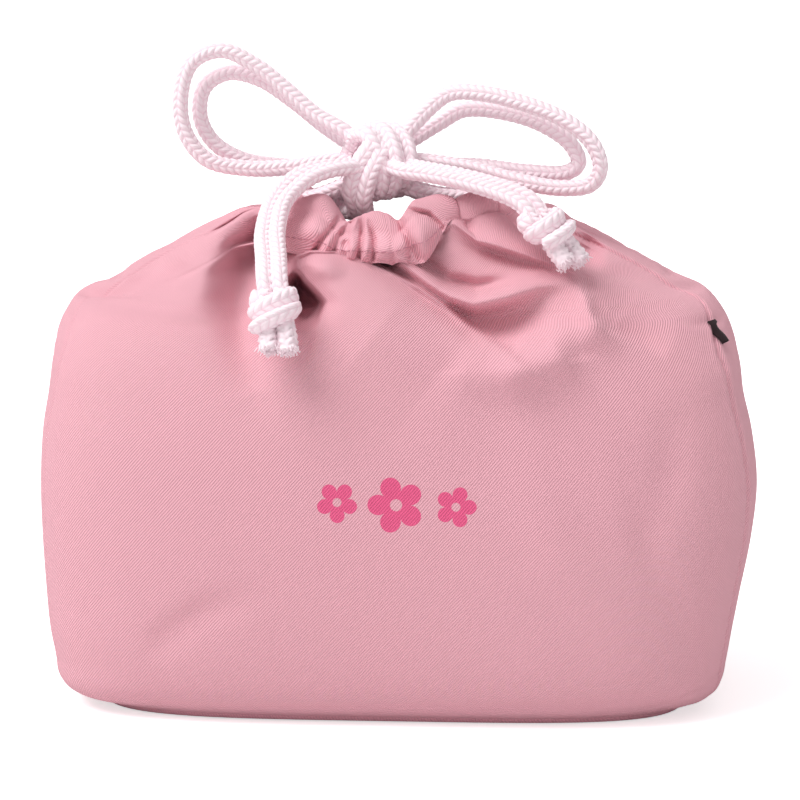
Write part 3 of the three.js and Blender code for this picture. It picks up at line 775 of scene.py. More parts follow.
def cut_shape(plain, first):
    """The cloth as it is cut: a tube that keeps most of its width up to the mouth."""
    part = plain[first:]
    steps = np.linalg.norm(np.diff(part, axis=0), axis=2)
    climb = np.vstack([np.zeros((1, part.shape[1])), np.cumsum(steps, axis=0)])
    share = climb / climb[-1:]
    front = smooth_step(-part[:1, :, 1], 10, 40)
    right = smooth_step(part[:1, :, 0], 10, 80)
    climb = climb * (1 + share * (0.03 + 0.03 * front - 0.03 * right))
    wide = part[0]
    around = np.linalg.norm(part - np.roll(part, 1, axis=1), axis=2).sum(1)
    slack = 1 + 1.05 * smooth_step(share, 0.28, 1.0) ** 1.3
    keep = np.minimum((around / around[0])[:, None] * slack, 1)
    shape = np.empty_like(part)
    shape[..., 0] = wide[:, 0] * keep
    shape[..., 1] = wide[:, 1] * keep
    shape[..., 2] = wide[:, 2] + climb
    return shape


def settle(start, cut, hold, frames):
    """The upper cloth let go for a moment: it swells, sags and finds its own folds."""
    rows, columns = start.shape[:2]
    mesh = bpy.data.meshes.new("settling cloth")
    faces = grid_faces(rows, columns, closed=True)
    mesh.from_pydata((start.reshape(-1, 3) * SIM_SCALE).tolist(), [], faces.tolist())
    cloth = add_object("settling cloth", mesh)
    cloth.shape_key_add(name="Basis")
    key = cloth.shape_key_add(name="cut")
    key.data.foreach_set("co", (cut.reshape(-1, 3) * SIM_SCALE).ravel())
    group = cloth.vertex_groups.new(name="held")
    for row in range(rows):
        if hold[row] > 0:
            group.add(list(range(row * columns, (row + 1) * columns)), float(hold[row]), "REPLACE")
    modifier = cloth.modifiers.new("cloth", "CLOTH")
    settings = modifier.settings
    for name, value in SIM_SETTINGS.items():
        setattr(settings, name, value)
    settings.rest_shape_key = key
    settings.use_pressure = True
    settings.uniform_pressure_force = SIM_PRESSURE
    modifier.collision_settings.use_collision = False
    modifier.point_cache.frame_start = 1
    modifier.point_cache.frame_end = frames
    scene = bpy.context.scene
    for number in range(1, frames + 1):
        scene.frame_set(number)
    settled = cloth.evaluated_get(bpy.context.evaluated_depsgraph_get()).to_mesh()
    out = np.zeros(len(settled.vertices) * 3, dtype=np.float32)
    settled.vertices.foreach_get("co", out)
    bpy.data.objects.remove(cloth, do_unlink=True)
    bpy.data.meshes.remove(mesh)
    scene.frame_set(1)
    return out.reshape(rows, columns, 3).astype(float) / SIM_SCALE


def resampled(values, count, closed):
    """Rows at another density, smoothly."""
    n = len(values)
    place = np.arange(count) * n / count if closed else np.linspace(0, n - 1, count)
    i = np.floor(place).astype(int)
    t = (place - i).reshape((-1,) + (1,) * (values.ndim - 1))
    near = [values[k % n] if closed else values[np.clip(k, 0, n - 1)] for k in (i - 1, i, i + 1, i + 2)]
    return between_four(*near, t)


def resample(points, rows, columns):
    """A grid that closes round the bag, at another density both ways."""
    tall = resampled(points, rows, False)
    return np.swapaxes(resampled(np.swapaxes(tall, 0, 1), columns, True), 0, 1)


def settled_shell(plain, moved):
    """The shell with its upper part settled, blended into the rest."""
    first = int(np.argmax(plain[:, :, 2].mean(1) > SIM_FOOT))
    start = resample(moved[first:], SIM_ROWS, SIM_COLUMNS)
    cut = resample(cut_shape(plain, first), SIM_ROWS, SIM_COLUMNS)
    hold = 1 - smooth_step(start[..., 2].mean(1), *SIM_HELD)
    hold[-1] = 1
    done = settle(start, cut, hold, SIM_FRAMES)
    fine = resample(done, plain.shape[0] - first, plain.shape[1])
    blend = smooth_step(np.arange(len(fine)), 0, SIM_BLEND_ROWS)[:, None, None]
    moved = moved.copy()
    moved[first:] = moved[first:] * (1 - blend) + fine * blend
    return moved


def beside(grid):
    """The four neighbours of each place of a grid that closes round the bag."""
    up = np.vstack([grid[1:], grid[-1:]])
    down = np.vstack([grid[:1], grid[:-1]])
    return up, down, np.roll(grid, 1, axis=1), np.roll(grid, -1, axis=1)


def soften(points, rounds):
    """A grid of points made even, all but its first and last rows."""
    for _ in range(rounds):
        up, down, left, right = beside(points)
        even = (up + down + left + right) / 4
        even[0], even[-1] = points[0], points[-1]
        points = points + (even - points) * 0.5
    return points


def cut_cloth(piece, node):
    """The piece rides on the bag in a node's place, and the node's own part is hidden."""
    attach(piece, "bag")
    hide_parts(node)


# The cloth's length round the bag, for its weave, and how the seams run back over the shoulders.
CLOTH_AROUND = 640.0
SEAM_BACK = 0.27
SEAM_BACK_HEIGHTS = (114, 142)


def shell_pieces():
    """The four pieces of cloth between the seams, and what the other pieces are fitted to."""
    unfolded, moved, along, angle, folds = build_shell()
    moved = soften(moved, 3)
    # the seams lie in a shallow groove, and run further back over the shoulders
    total = moved.shape[1]
    height = moved[:, FRONT_COLUMNS + SIDE_COLUMNS // 2, 2]
    step_back = SEAM_BACK * SIDE_COLUMNS * smooth_step(height, *SEAM_BACK_HEIGHTS)
    corners = np.array([0, FRONT_COLUMNS, FRONT_COLUMNS + SIDE_COLUMNS, 2 * FRONT_COLUMNS + SIDE_COLUMNS])
    seams = corners[None, :] + step_back[:, None] * np.array([-1, 1, -1, 1])
    off = np.arange(total)[None, :, None] - seams[:, None, :]
    apart = np.abs((off + total // 2) % total - total // 2).min(2) * CLOTH_AROUND / total
    climb = along[:, None]
    pucker = 0.14 * np.sin(climb * 1.1 + 2 * np.sin(climb * 0.31)) * np.exp(-((apart / 3.0) ** 2))
    groove = -0.8 * np.exp(-((apart / 1.2) ** 2)) + 0.25 * np.exp(-(((apart - 3) / 2.0) ** 2))
    fade = smooth_step(along[-1] - along, 2, 20)[:, None] * np.where(moved[..., 0] < 0, 0.45, 1)
    moved = moved + normals_of(moved) * ((groove + pucker) * fade)[..., None]
    # painted shade, darker as each place lies deeper in the fold behind the lip
    px, _ = seen_at(moved)
    painted_shade_depth = np.clip((-folds - 14) / 26, 0, 1) * (1 - smooth_step(px, 330, 380))
    v = np.broadcast_to(climb, moved.shape[:2])
    carried = np.concatenate([moved, v[..., None], painted_shade_depth[..., None]], -1)
    ring_length = np.linalg.norm(moved - np.roll(moved, 1, axis=1), axis=2).sum(1)
    across_scale = (0.35 * CLOTH_AROUND + 0.65 * np.minimum(ring_length, CLOTH_AROUND)) / total

    def part(node, first, last):
        """The cloth from one seam to the next."""
        count = int(last[0] - first[0]) + 1
        place = first[:, None] + (last - first)[:, None] * np.linspace(0, 1, count)
        whole = np.floor(place).astype(int)
        rest = (place - whole)[..., None]
        row = np.arange(len(place))[:, None]
        taken = carried[row, whole % total] * (1 - rest) + carried[row, (whole + 1) % total] * rest
        u = (place - (first + last)[:, None] / 2) * across_scale[:, None]
        cloth = PRINTED_CLOTH if node == "front_panel" else CLOTH
        piece = grid_object("sewn_" + node, taken[..., :3], np.stack([u, taken[..., 3]], -1), cloth)
        # the painted shade goes to the weave as a point attribute
        layer = piece.data.attributes.new("painted_fold_shade", "FLOAT", "POINT")
        layer.data.foreach_set("value", taken[..., 4].ravel().astype(np.float32))
        return piece, node

    pieces = [
        part("front_panel", seams[:, 0], seams[:, 1]),
        part("right_gusset", seams[:, 1], seams[:, 2]),
        part("back_panel", seams[:, 2], seams[:, 3]),
        part("left_gusset", seams[:, 3], seams[:, 0] + total),
    ]
    for piece, node in pieces:
        cut_cloth(piece, node)
    return unfolded, moved, angle, folds, seams


# The gathered channel, the lining and the base.
MOUTH_WIDTH, MOUTH_DEPTH, MOUTH_HEIGHT = 72.0, 50.0, 156.5
SLIT_ANGLE = math.asin(22.0 / MOUTH_DEPTH)
CHANNEL_ROWS, CHANNEL_COLUMNS = 84, 520
CHANNEL_RADIUS = 7.2
# The turn round the channel's tube, in degrees: its foot at the front, where the cloth ends behind,
# and the row of stitches.
CHANNEL_FOOT, CHANNEL_END, CHANNEL_STITCHES = -52, 232, -22
# The lobes of the front rim: height, place round the mouth and width, in degrees.
RIM_LOBES = [(1.4, -100, 7), (-1.8, -116, 5), (-2.0, -88, 4)]
# How far the hem falls forward over the cloth behind the big fold.
HEM_FALL = 7.6
# The stitches: how far apart they start, and their length and radius.
STITCH_STEP, STITCH_LENGTH, STITCH_RADIUS = 2.6, 1.5, 0.17
# The creases and curls of the channel's front, given as the folds of the bag's front are.
MOUTH_FOLDS = [
    (ridge, [(296, 230), (316, 229), (334, 222)], [1, 3, 1], 9, 10),
    (ridge, [(341, 214), (332, 228), (322, 239), (308, 262)], [-1.5, -3, -4, -4], 3.4, 2.6),
    (ridge, [(341, 226), (331, 238), (323, 254)], [1.5, 1.8, 1.5], 3.5, 3.5),
    (ridge, [(349, 222), (339, 238), (331, 262)], [-1, -2.4, -2.4], 2.6, 2.6),
    (hollow, (345, 244), (6, 7), 30, 3.4, 0.1),
    (ridge, [(352, 229), (353, 244), (350, 262)], [1.2, 2.2, 1.6], 4.5, 4.5),
    (ridge, [(363, 214), (362, 230), (360, 248), (356, 272)], [-1, -2.8, -3.6, -3.6], 2.4, 2.2),
    (ridge, [(367, 232), (367, 248), (365, 266)], [1.4, 2.0, 1.8], 4.2, 4.2),
    (ridge, [(369, 222), (374, 239), (374, 254), (371, 276)], [-1, -4.4, -3.4, -3.4], 2.2, 2.2),
    (ridge, [(388, 216), (390, 238), (386, 262)], [1, 3, 1], 13, 13),
    (ridge, [(397, 212), (402, 228), (411, 243), (420, 258), (428, 276)], [-2, -4, -4, -4, -3], 3.4, 2.8),
    (hollow, (405, 270), (17, 15), 0, -5, 0.0),
    (ridge, [(405, 212), (420, 226), (426, 252)], [3, 4, 3], 12, 10),
    (ridge, [(437, 234), (434, 241), (432, 250), (431, 266)], [-0.6, -2.0, -2.2, -1.6], 3, 2.4),
    (ridge, [(408, 209), (428, 214), (442, 227), (447, 233)], [-3, -4.4, -4.4, -2], 2.6, 2.6),
    (ridge, [(455, 236), (461, 244), (480, 252)], [-3, -4, -3], 2.6, 2.6),
    (ridge, [(345, 225), (345, 218), (351, 215), (357, 219), (355, 225)],
     [1, 2.2, 2.2, 2.2, 1], 2.2, 2.2),
    (hollow, (351, 220), (3, 3), 0, 2.6, 0.2),
]


def swell(degrees, middle, width):
    return np.exp(-(((degrees - middle) / width) ** 2))


def mouth_angle(angle):
    """The angle round the bag of a place on the mouth's oval."""
    return np.arctan2(MOUTH_DEPTH * DEPTH_STRETCH * np.sin(angle), MOUTH_WIDTH * np.cos(angle))


def mouth_point(angle, outward, up):
    """A point off the middle line of the channel, which dips at the front and the back."""
    angle = np.asarray(angle, float)
    nx, ny = np.cos(angle) / MOUTH_WIDTH, np.sin(angle) / MOUTH_DEPTH
    size = np.hypot(nx, ny)
    place = mouth_angle(angle)
    front_dip = 1.5 * np.sin(angle) ** 2 + 6 * notch(place, RIM_NOTCH)
    front_dip = front_dip + 2.6 * swell(np.degrees(place), -142, 14)
    dip = np.where(np.sin(angle) < 0, front_dip, 6.5 * np.sin(angle) ** 2 + 8 * notch(place, BACK_NOTCH))
    return np.stack([
        MOUTH_WIDTH / 2 * np.cos(angle) + outward * nx / size,
        MOUTH_DEPTH / 2 * np.sin(angle) + outward * ny / size,
        MOUTH_HEIGHT + up - dip,
    ], -1)


def fallen_hem(points, turn, place):
    """The front of the channel, fallen over the cloth behind the big fold, with its creases."""
    outer = 1 - smooth_step(turn, math.radians(CHANNEL_STITCHES), math.radians(24))
    fallen = HEM_FALL * (notch(place, FOOT_NOTCH)[None, :] * outer)
    points = points + towards_eye(points) * fallen[..., None]
    px, py = seen_at(points)
    shown = smooth_step(np.cos(turn), -0.1, 0.35)
    shown = shown * smooth_step(turn, math.radians(CHANNEL_FOOT), math.radians(-36))
    creases = with_folds(np.zeros(px.shape), px, py, MOUTH_FOLDS) * shown
    points = points + towards_eye(points) * (0.8 * creases)[..., None]
    points[..., 2] += 0.3 * np.minimum(creases, 0) * smooth_step(np.sin(turn), 0.2, 0.9)
    return points


def channel_piece(side, neck, neck_angle):
    """Half a ring of gathered hem, sewn to the neck: a folded-over tube of cloth with its stitches."""
    front = side == "front"
    middle = -math.pi / 2 if front else math.pi / 2
    reach = math.pi / 2 - SLIT_ANGLE * 0.55
    angle = np.linspace(middle - reach, middle + reach, CHANNEL_COLUMNS)
    turn = np.linspace(math.radians(CHANNEL_FOOT), math.radians(CHANNEL_END), CHANNEL_ROWS)[:, None]
    place = wrapped(mouth_angle(angle))
    slant = 0.05 * np.sin(3 * place)[None, :] * turn
    pleat = rolls(wrapped(place[None, :] + slant), FINE_EDGES, FINE_HEIGHTS)
    pleat = pleat * (1 - 0.85 * notch(place, FOOT_NOTCH))[None, :]
    sway = 0.8 * np.sin(5 * angle + 0.7) + 0.6 * np.sin(11 * angle + 2)
    sway = sway * (1 - notch(place, RIM_NOTCH))
    for height, lobe, width in RIM_LOBES:
        sway = sway + height * swell(np.degrees(place), lobe, width)
    radius = CHANNEL_RADIUS + 2.0 * pleat * smooth_step(np.sin(turn), -0.9, 0.2)
    lean = 1.0 + 0.10 * np.sin(7 * angle + 0.4)[None, :]
    outward = radius * np.cos(np.maximum(turn, 0) if front else turn) * (0.8 if front else 0.92)
    up = radius * np.sin(turn) * lean + sway[None, :] * np.clip(np.sin(turn), 0, 1)
    points = mouth_point(np.broadcast_to(angle, outward.shape), outward, up)
    # the foot of the outer side meets the neck
    order = np.argsort(neck_angle)
    foot = np.stack([
        np.interp(place, neck_angle[order], neck[order][:, k], period=2 * math.pi) for k in range(3)
    ], 1)
    meet = (1 - smooth_step(turn, math.radians(CHANNEL_FOOT), math.radians(12)))[..., None]
    points = points * (1 - meet) + (foot[None] + (points - points[0:1])) * meet
    if front:
        points = fallen_hem(points, turn, place)
    # the ends at the slits are drawn in a little
    count = np.arange(CHANNEL_COLUMNS)
    from_end = np.minimum(count, count[::-1]) * (math.pi / CHANNEL_COLUMNS) * 30
    tuck = np.exp(-((from_end / 3.0) ** 2))[None, :, None]
    points = points + (mouth_point(angle, 0, 0)[None] - points) * tuck * 0.35
    uv = np.stack([np.broadcast_to(way, outward.shape) for way in (angle * 44, turn * 8.0)], -1)
    uv[..., 0] += 2.5 * pleat + 3 * np.sin(2.3 * turn + 9 * angle[None, :])
    piece = grid_object(f"gathered_{side}_channel", points, uv, CLOTH)
    row = int(np.argmin(np.abs(turn[:, 0] - math.radians(CHANNEL_STITCHES))))
    line = points[row] + normals_of(points, closed=False)[row] * 0.08
    stitches = joined(f"stitched_{side}_channel", stitches_along(line), THREAD)
    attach(stitches, "bag")
    cut_cloth(piece, f"{side}_channel")


def stitches_along(line):
    travelled = travelled_along(line)
    stitches = []
    for start in np.arange(3, travelled[-1] - 4, STITCH_STEP):
        ends = [start, start + STITCH_LENGTH]
        start, end = np.stack([np.interp(ends, travelled, line[:, k]) for k in range(3)], 1)
        stitches.append(capsule(start, end, STITCH_RADIUS))
    return stitches


def capsule(start, end, radius, sides=6):
    """A short thread with narrowed ends: its vertices and faces."""
    start, end = np.asarray(start, float), np.asarray(end, float)
    t = (end - start) / np.linalg.norm(end - start)
    guess = np.array([0, 0, 1.0]) if abs(t[2]) < 0.9 else np.array([0, 1.0, 0])
    side = np.cross(t, guess)
    side /= np.linalg.norm(side)
    other = np.cross(t, side)
    turn = np.arange(sides) / sides * 2 * math.pi
    rings = []
    for share, r in ((-0.8, 0.35), (0, 1), (1, 1), (1.8, 0.35)):
        within = np.clip(share, 0, 1)
        centre = start + (end - start) * within + t * radius * (share - within)
        rings.append(centre + radius * r * (np.cos(turn)[:, None] * side + np.sin(turn)[:, None] * other))
    faces = [tuple(f) for f in grid_faces(4, sides, closed=True)]
    faces += [tuple(range(sides))[::-1], tuple(range(3 * sides, 4 * sides))]
    return np.vstack(rings), faces


def joined(name, parts, material):
    """One mesh of several parts, each given by its vertices and faces."""
    vertices, faces, base = [], [], 0
    for v, f, *_ in parts:
        vertices.append(v)
        faces += [tuple(int(i) + base for i in face) for face in f]
        base += len(v)
    return mesh_object(name, np.vstack(vertices), faces, None, material)


def lowest_near(values, reach):
    """The least of the values around each place of a closed grid."""
    for _ in range(reach):
        values = np.minimum.reduce([values, *beside(values)])
    return values


# How far the lining lies inside the shell, and what is added near the neck.
LINING_GAP, NECK_GAP = 3.2, 3.5
# The lining takes every fourth row and column, ends below the neck, and its threads' step.
LINING_STEP, LINING_END = 4, 20
LINING_WEAVE = 3.0
LINING_FLOOR = 3.4


def lining_pieces(unfolded, folds):
    """The lining: the shell drawn in behind the deepest folds, and a flat floor."""
    inner = soften(unfolded, 30)
    back_off = lowest_near(np.minimum(folds, 0), 9)
    near_neck = smooth_step(np.arange(len(inner)), SHELL_ROWS - 44, SHELL_ROWS - 20)[:, None, None]
    gap = LINING_GAP + NECK_GAP * near_neck
    inner = inner - normals_of(inner) * gap + towards_eye(inner) * back_off[..., None]
    inner = soften(inner, 12)[:-LINING_END:LINING_STEP, ::LINING_STEP]
    rows, columns = inner.shape[:2]
    uv = np.stack(np.meshgrid(np.arange(columns) * LINING_WEAVE, np.arange(rows) * LINING_WEAVE), -1)
    wall = grid_object("sewn_lining_wall", inner[1:], uv[1:], LINING, closed=True, flip=True)
    edge = inner[1]
    centre = np.array([[0, 0, edge[:, 2].mean()]])
    rings = np.stack([centre + (edge - centre) * k for k in (1.0, 0.97, 0.9, 0.7, 0.4, 0.05)])
    rings[..., 2] = LINING_FLOOR
    rings[0, :, 2] = edge[:, 2]
    floor = grid_object("sewn_lining_floor", rings, rings[..., :2].copy(), LINING, closed=True)
    cut_cloth(wall, "lining_wall")
    cut_cloth(floor, "lining_floor")


# The base's rings, from its seam to its middle: share of the seam's width, and height.
BASE_RINGS = [(1.004, 2.6), (1.004, 1.6), (0.99, 0.5), (0.96, 0.15), (0.9, 0.0), (0.5, 0.0), (0.03, 0.0)]


def base_piece(moved):
    rings = np.stack([moved[0] * share for share, _ in BASE_RINGS])[:, ::2]
    for ring, (_, height) in zip(rings, BASE_RINGS):
        ring[:, 2] = height
    base = grid_object("sewn_base_panel", rings, rings[..., :2].copy(), BASE_CLOTH, closed=True, flip=True)
    cut_cloth(base, "base_panel")


# The side tab: the heights between which it is sewn in, its reach and its ribbon's thickness.
TAB_HEIGHTS = (116.5, 124)
TAB_REACH = 2.2
TAB_THICKNESS = 0.8


def tab_piece(moved, seams):
    """The ribbon tab in the right seam: a small folded loop that stands a little proud."""
    low, high = TAB_HEIGHTS
    rows = [i for i in range(moved.shape[0]) if low < moved[i, FRONT_COLUMNS, 2] < high]
    column = int(round(seams[rows, 1].mean()))
    normal = normals_of(moved)
    across = np.linspace(0, TAB_REACH, 8)
    ring = []
    for i in rows:
        start, n = moved[i, column], normal[i, column + 3]
        behind = moved[i, column + 12] - moved[i, column]
        behind /= np.linalg.norm(behind)
        ring.append([
            start + n * 0.3 + behind * a + n * (1.1 * np.sin(a / TAB_REACH * math.pi * 0.6)) for a in across
        ])
    points = np.array(ring)
    out = np.cross(np.gradient(points, axis=1), np.gradient(points, axis=0))
    out /= np.maximum(np.linalg.norm(out, axis=2, keepdims=True), 1e-9)
    toward = np.sign((out * normal[rows[0], column]).sum(-1).mean())
    points = points + out * toward * 0.35
    uv = np.stack(np.meshgrid(across, np.arange(len(rows)) * 0.6), -1)
    tab = grid_object("sewn_side_tab", points, uv, RIBBON)
    thick = tab.modifiers.new("thickness", "SOLIDIFY")
    thick.thickness = TAB_THICKNESS * MM
    thick.offset = 0
    cut_cloth(tab, "side_tab")


# The cords: the sides of a tube, its radius over the stitches and the stitches' relief, and how
# much the braid turns along it.
CORD_SIDES = 36
CORD_RADIUS = 2.64
CORD_RELIEF = 0.36
BRAID_TWIST = 0.0015


def braid_height(around, along):
    """The height of a braid's stitches: columns that slant to and fro round the cord."""
    column = around * BRAID_COLUMNS
    across = column - np.floor(column)
    slant = np.where(np.floor(column) % 2 == 0, across, 1 - across)
    stitch = np.abs(np.sin(math.pi * (along / BRAID_PITCH + slant * STITCH_SLANT)))
    edge = np.sin(math.pi * across)
    return (stitch ** 0.7) * (edge ** 0.5) * 0.6 + np.minimum(stitch ** 0.6, edge ** 0.5) * 0.4


def frames_along(line, first):
    """Two directions square to a line, that turn with it and not round it."""
    tangent = np.gradient(line, axis=0)
    tangent /= np.linalg.norm(tangent, axis=1)[:, None]
    current = np.array(first, float)
    side = np.zeros_like(line)
    for i, t in enumerate(tangent):
        current = current - t * np.dot(current, t)
        current /= np.linalg.norm(current)
        side[i] = current
    return side, np.cross(tangent, side)


def cord_mesh(line, first, radius=CORD_RADIUS, relief=CORD_RELIEF, squash=1.0, start=0.0, end_taper=0.0):
    """The vertices, faces and braid coordinates of a tube along a line."""
    side, other = frames_along(line, first)
    travelled = travelled_along(line)
    around = np.arange(CORD_SIDES) / CORD_SIDES
    turn = 2 * math.pi * around
    twist = BRAID_TWIST * travelled
    height = braid_height(around[None, :] + twist[:, None], start + travelled[:, None])
    reach = radius - relief + relief * 1.15 * height
    if end_taper:
        reach = reach * (0.55 + 0.45 * smooth_step(travelled[-1] - travelled, 0, end_taper))[:, None]
    ring = side[:, None, :] * (np.cos(turn) * squash)[None, :, None]
    ring = ring + other[:, None, :] * np.sin(turn)[None, :, None]
    vertices = (line[:, None, :] + ring * reach[:, :, None]).reshape(-1, 3)
    count = len(line)
    i, j = np.meshgrid(np.arange(count - 1), np.arange(CORD_SIDES), indexing="ij")
    i, j = i.ravel(), j.ravel()
    corners = [(i, j), (i, j + 1), (i + 1, j + 1), (i + 1, j)]
    faces = np.stack([a * CORD_SIDES + b % CORD_SIDES for a, b in corners], 1).tolist()
    places = np.stack([
        np.stack([b / CORD_SIDES + twist[a], start + travelled[a]], 1) for a, b in corners
    ], 1).tolist()
    for row, order in ((0, -1), (count - 1, 1)):
        faces.append([row * CORD_SIDES + j for j in list(range(CORD_SIDES))[::order]])
        places.append([STITCH_TOP] * CORD_SIDES)
    return vertices, faces, places


def cord_piece(name, node, body, meshes):
    """A piece of cord of one or more tubes, riding on a body in a node's place."""
    piece = joined(name, meshes, CORD_PINK)
    layer = piece.data.uv_layers.new(name="UVMap")
    flat = np.array([xy for *_, places in meshes for face in places for xy in face], dtype=np.float32)
    layer.data.foreach_set("uv", flat.ravel())
    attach(piece, body)
    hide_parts(node)
    return piece


def draw_together(one, other, apart, reach):
    """Two strands that run side by side, moved so that they touch."""
    def moved(a, b):
        gap = a[:, None, :] - b[None, :, :]
        distance = np.linalg.norm(gap, axis=2)
        nearest = distance.argmin(1)
        least = distance.min(1)
        away = gap[np.arange(len(a)), nearest] / least[:, None]
        weight = 1 - smooth_step(least, reach * 0.6, reach)
        return a + away * ((apart - least) / 2 * weight)[:, None]
    return moved(one, other), moved(other, one)


def strand(node, body, line, first, lay=None, **shape):
    """A strand of cord along a line. The way it lies is not used."""
    piece = cord_piece("braided_" + node, node, body, [cord_mesh(line, first=first, **shape)])


def knot_mouth(azimuth, elevation, reach):
    """A place off the middle of the bow knot, given by its way and reach."""
    turn, lift = math.radians(azimuth), math.radians(elevation)
    level = math.cos(lift)
    return BOW + reach * np.array([level * math.cos(turn), level * math.sin(turn), math.sin(lift)])


def from_bow(points):
    """Points given off the middle of the bow, in the bag's frame."""
    return [BOW + np.array(p, float) for p in points]


# How far from its middle a strand starts in the bow knot, and where it comes out.
IN_KNOT, OUT_OF_KNOT, LEAD_OUT_OF_KNOT = 7.5, 13.5, 13
# The loops: the way each leaves the knot, its points off the bow's middle and the way it comes back.
LOOPS = [
    ("left_loop_front", "left_loop", (180, 48), [
        [-19.5, 2, 16], [-29, 3, 24], [-38, 3, 31], [-49, 2, 36], [-58.4, 1, 32.4], [-62.2, 0, 22],
        [-61, 0, 10], [-54, 0.6, 1.2], [-42, 1.6, -1.6], [-29, 1.6, -1.4]], (178, 4)),
    ("left_loop_back", "left_loop", (145, 30), [
        [-17.5, 9.4, 12], [-27, 10, 19.5], [-38, 10, 26.6], [-48, 9, 28.6], [-55.6, 8, 24],
        [-57, 7.6, 14.2], [-52.5, 8, 6], [-43, 8.6, 0.6], [-30, 9.6, -1.4]], (142, -6)),
    ("right_loop_front", "right_loop", (0, 45), [
        [16.9, 1, 17.4], [24, 0, 22.6], [34, -2, 22.8], [46.2, -4, 20.1], [59.4, -6, 15.2], [69, -7, 7.7],
        [71.9, -7, -0.5], [69, -6, -5.6], [60, -5, -7], [46, -3, -5], [30, -0.6, -1]], (0, 5)),
    ("right_loop_back", "right_loop", (35, 28), [
        [20.6, 8.6, 13], [28, 7.6, 17], [40, 5, 16.6], [53, 2.2, 12.9], [62.6, 0.6, 6.4], [65, 0.6, 0.4],
        [61, 1.8, -2.6], [49, 3.6, -2.6], [32, 7, -1]], (36, -4)),
]


def tail_foot(entry, along, outward):
    along = np.array(along, float)
    along /= np.linalg.norm(along)
    across = np.cross(np.array(outward, float), along)
    return BOW + np.array(entry, float), along, across / np.linalg.norm(across)


LEFT_FOOT = tail_foot([-27.2, -55.2, -33.6], [0.14, -0.5, -0.86], [-0.1, -0.86, 0.5])
RIGHT_FOOT = tail_foot([51.0, -31.6, -12.0], [0.62, -0.3, -0.73], [0.3, -0.5, 0.8])
# The tails: the way each leaves the knot, its points, its foot and the side of the foot it comes to.
TAILS = [
    ("left_tail_outer", "left_tail", (220, 0), [
        [-21, -14, -0.8], [-28, -18.4, -5.4], [-32, -25, -11.6], [-33, -36, -19.6],
        [-31.6, -45.6, -26]], LEFT_FOOT, -1),
    ("left_tail_inner", "left_tail", (252, 0), [
        [-10.6, -17.4, -0.4], [-18.4, -20.8, -3.4], [-25, -26.6, -9.6], [-27, -36, -17.8],
        [-25.8, -45.6, -25.4]], LEFT_FOOT, 1),
    ("right_tail_front", "right_tail", (295, 0), [
        [9.4, -17.6, -0.8], [19, -22.8, -1.9], [32, -27.6, -4.6]], RIGHT_FOOT, -1),
    ("right_tail_back", "right_tail", (328, 0), [
        [17, -11.6, -0.6], [27, -17.2, -1.8], [38.6, -22.4, -4.2]], RIGHT_FOOT, 1),
]
# The leads: the slit's side, its front or back strand, its points and the way it comes to the knot.
LEADS = [
    ("left_lead_front", -1, -1,
        [[-26, -4.8, -11.7], [-23.2, -2.6, -11.3], [-18.5, -2.1, -10.4]], (198, -33)),
    ("left_lead_back", -1, 1,
        [[-24.6, 6.8, -11.7], [-22.4, 4.7, -11.3], [-18.5, 4.1, -10.4]], (162, -33)),
    ("right_lead_front", 1, -1,
        [[40.6, -4.8, -11.7], [38.4, -2.7, -11.3], [30, -2.2, -10.6], [20, -2.8, -9.8]], (342, -33)),
    ("right_lead_back", 1, 1,
        [[42, 6.8, -11.7], [39.2, 4.6, -11.3], [30, 4.2, -10.6], [20, 3.9, -9.8]], (18, -33)),
]
# A lead longer than this is passed to its strand as taut.
LONG_LEAD = 31
# The radius of a run in its channel, and how far from the slit it begins.
RUN_RADIUS = 2.3
RUN_END = 0.1


def run_point(side, travelled):
    angle = math.pi + travelled if side < 0 else travelled
    turn = math.pi / 2 - travelled
    front = max(-math.sin(angle), 0) ** 2
    return mouth_point(angle, 2.6 * math.cos(turn) - 3.4 * front, 2.6 * math.sin(turn) - 1.2 * front)


def cords():
    for node, body, leave, points, arrive in LOOPS:
        route = [
            knot_mouth(*leave, IN_KNOT), knot_mouth(*leave, OUT_OF_KNOT), *from_bow(points),
            knot_mouth(*arrive, OUT_OF_KNOT), knot_mouth(*arrive, IN_KNOT),
        ]
        strand(node, body, through(route, 0.4), (0.2, -1, 0.1), lay="loose")
    for pair in (TAILS[:2], TAILS[2:]):
        lines = []
        for *_, leave, points, (entry, along, across), sign in pair:
            arrive = entry + across * sign * 2.5
            route = [
                knot_mouth(*leave, IN_KNOT), knot_mouth(*leave, OUT_OF_KNOT), *from_bow(points),
                arrive - along * 4, arrive + along * 3,
            ]
            lines.append(through(route, 0.5))
        lines = draw_together(*lines, 4.7, 11.0)
        for (node, body, *_), line in zip(pair, lines):
            strand(node, body, line, (0, -0.7, 0.7), lay="loose")
    near = SLIT_ANGLE - 0.012
    for node, side, facing, points, arrive in LEADS:
        in_channel = [near + 0.1, near, near - 0.08]
        if side != facing:
            in_channel = [2 * math.pi - travelled for travelled in in_channel]
        route = [
            *(run_point(side, travelled) for travelled in in_channel), *from_bow(points),
            knot_mouth(*arrive, LEAD_OUT_OF_KNOT), knot_mouth(*arrive, IN_KNOT),
        ]
        line = through(route, 0.4)
        strand(node, "bag", line, (0, -1, 0.2), lay="taut" if length_of(line) > LONG_LEAD else None)
    for node, side in (("left_cord_run", -1), ("right_cord_run", 1)):
        spans = np.linspace(SLIT_ANGLE + RUN_END, 2 * math.pi - SLIT_ANGLE - RUN_END, 40)
        line = through([run_point(side, t) for t in spans], 0.4)
        strand(node, "bag", line, (0, 0, 1), radius=RUN_RADIUS)


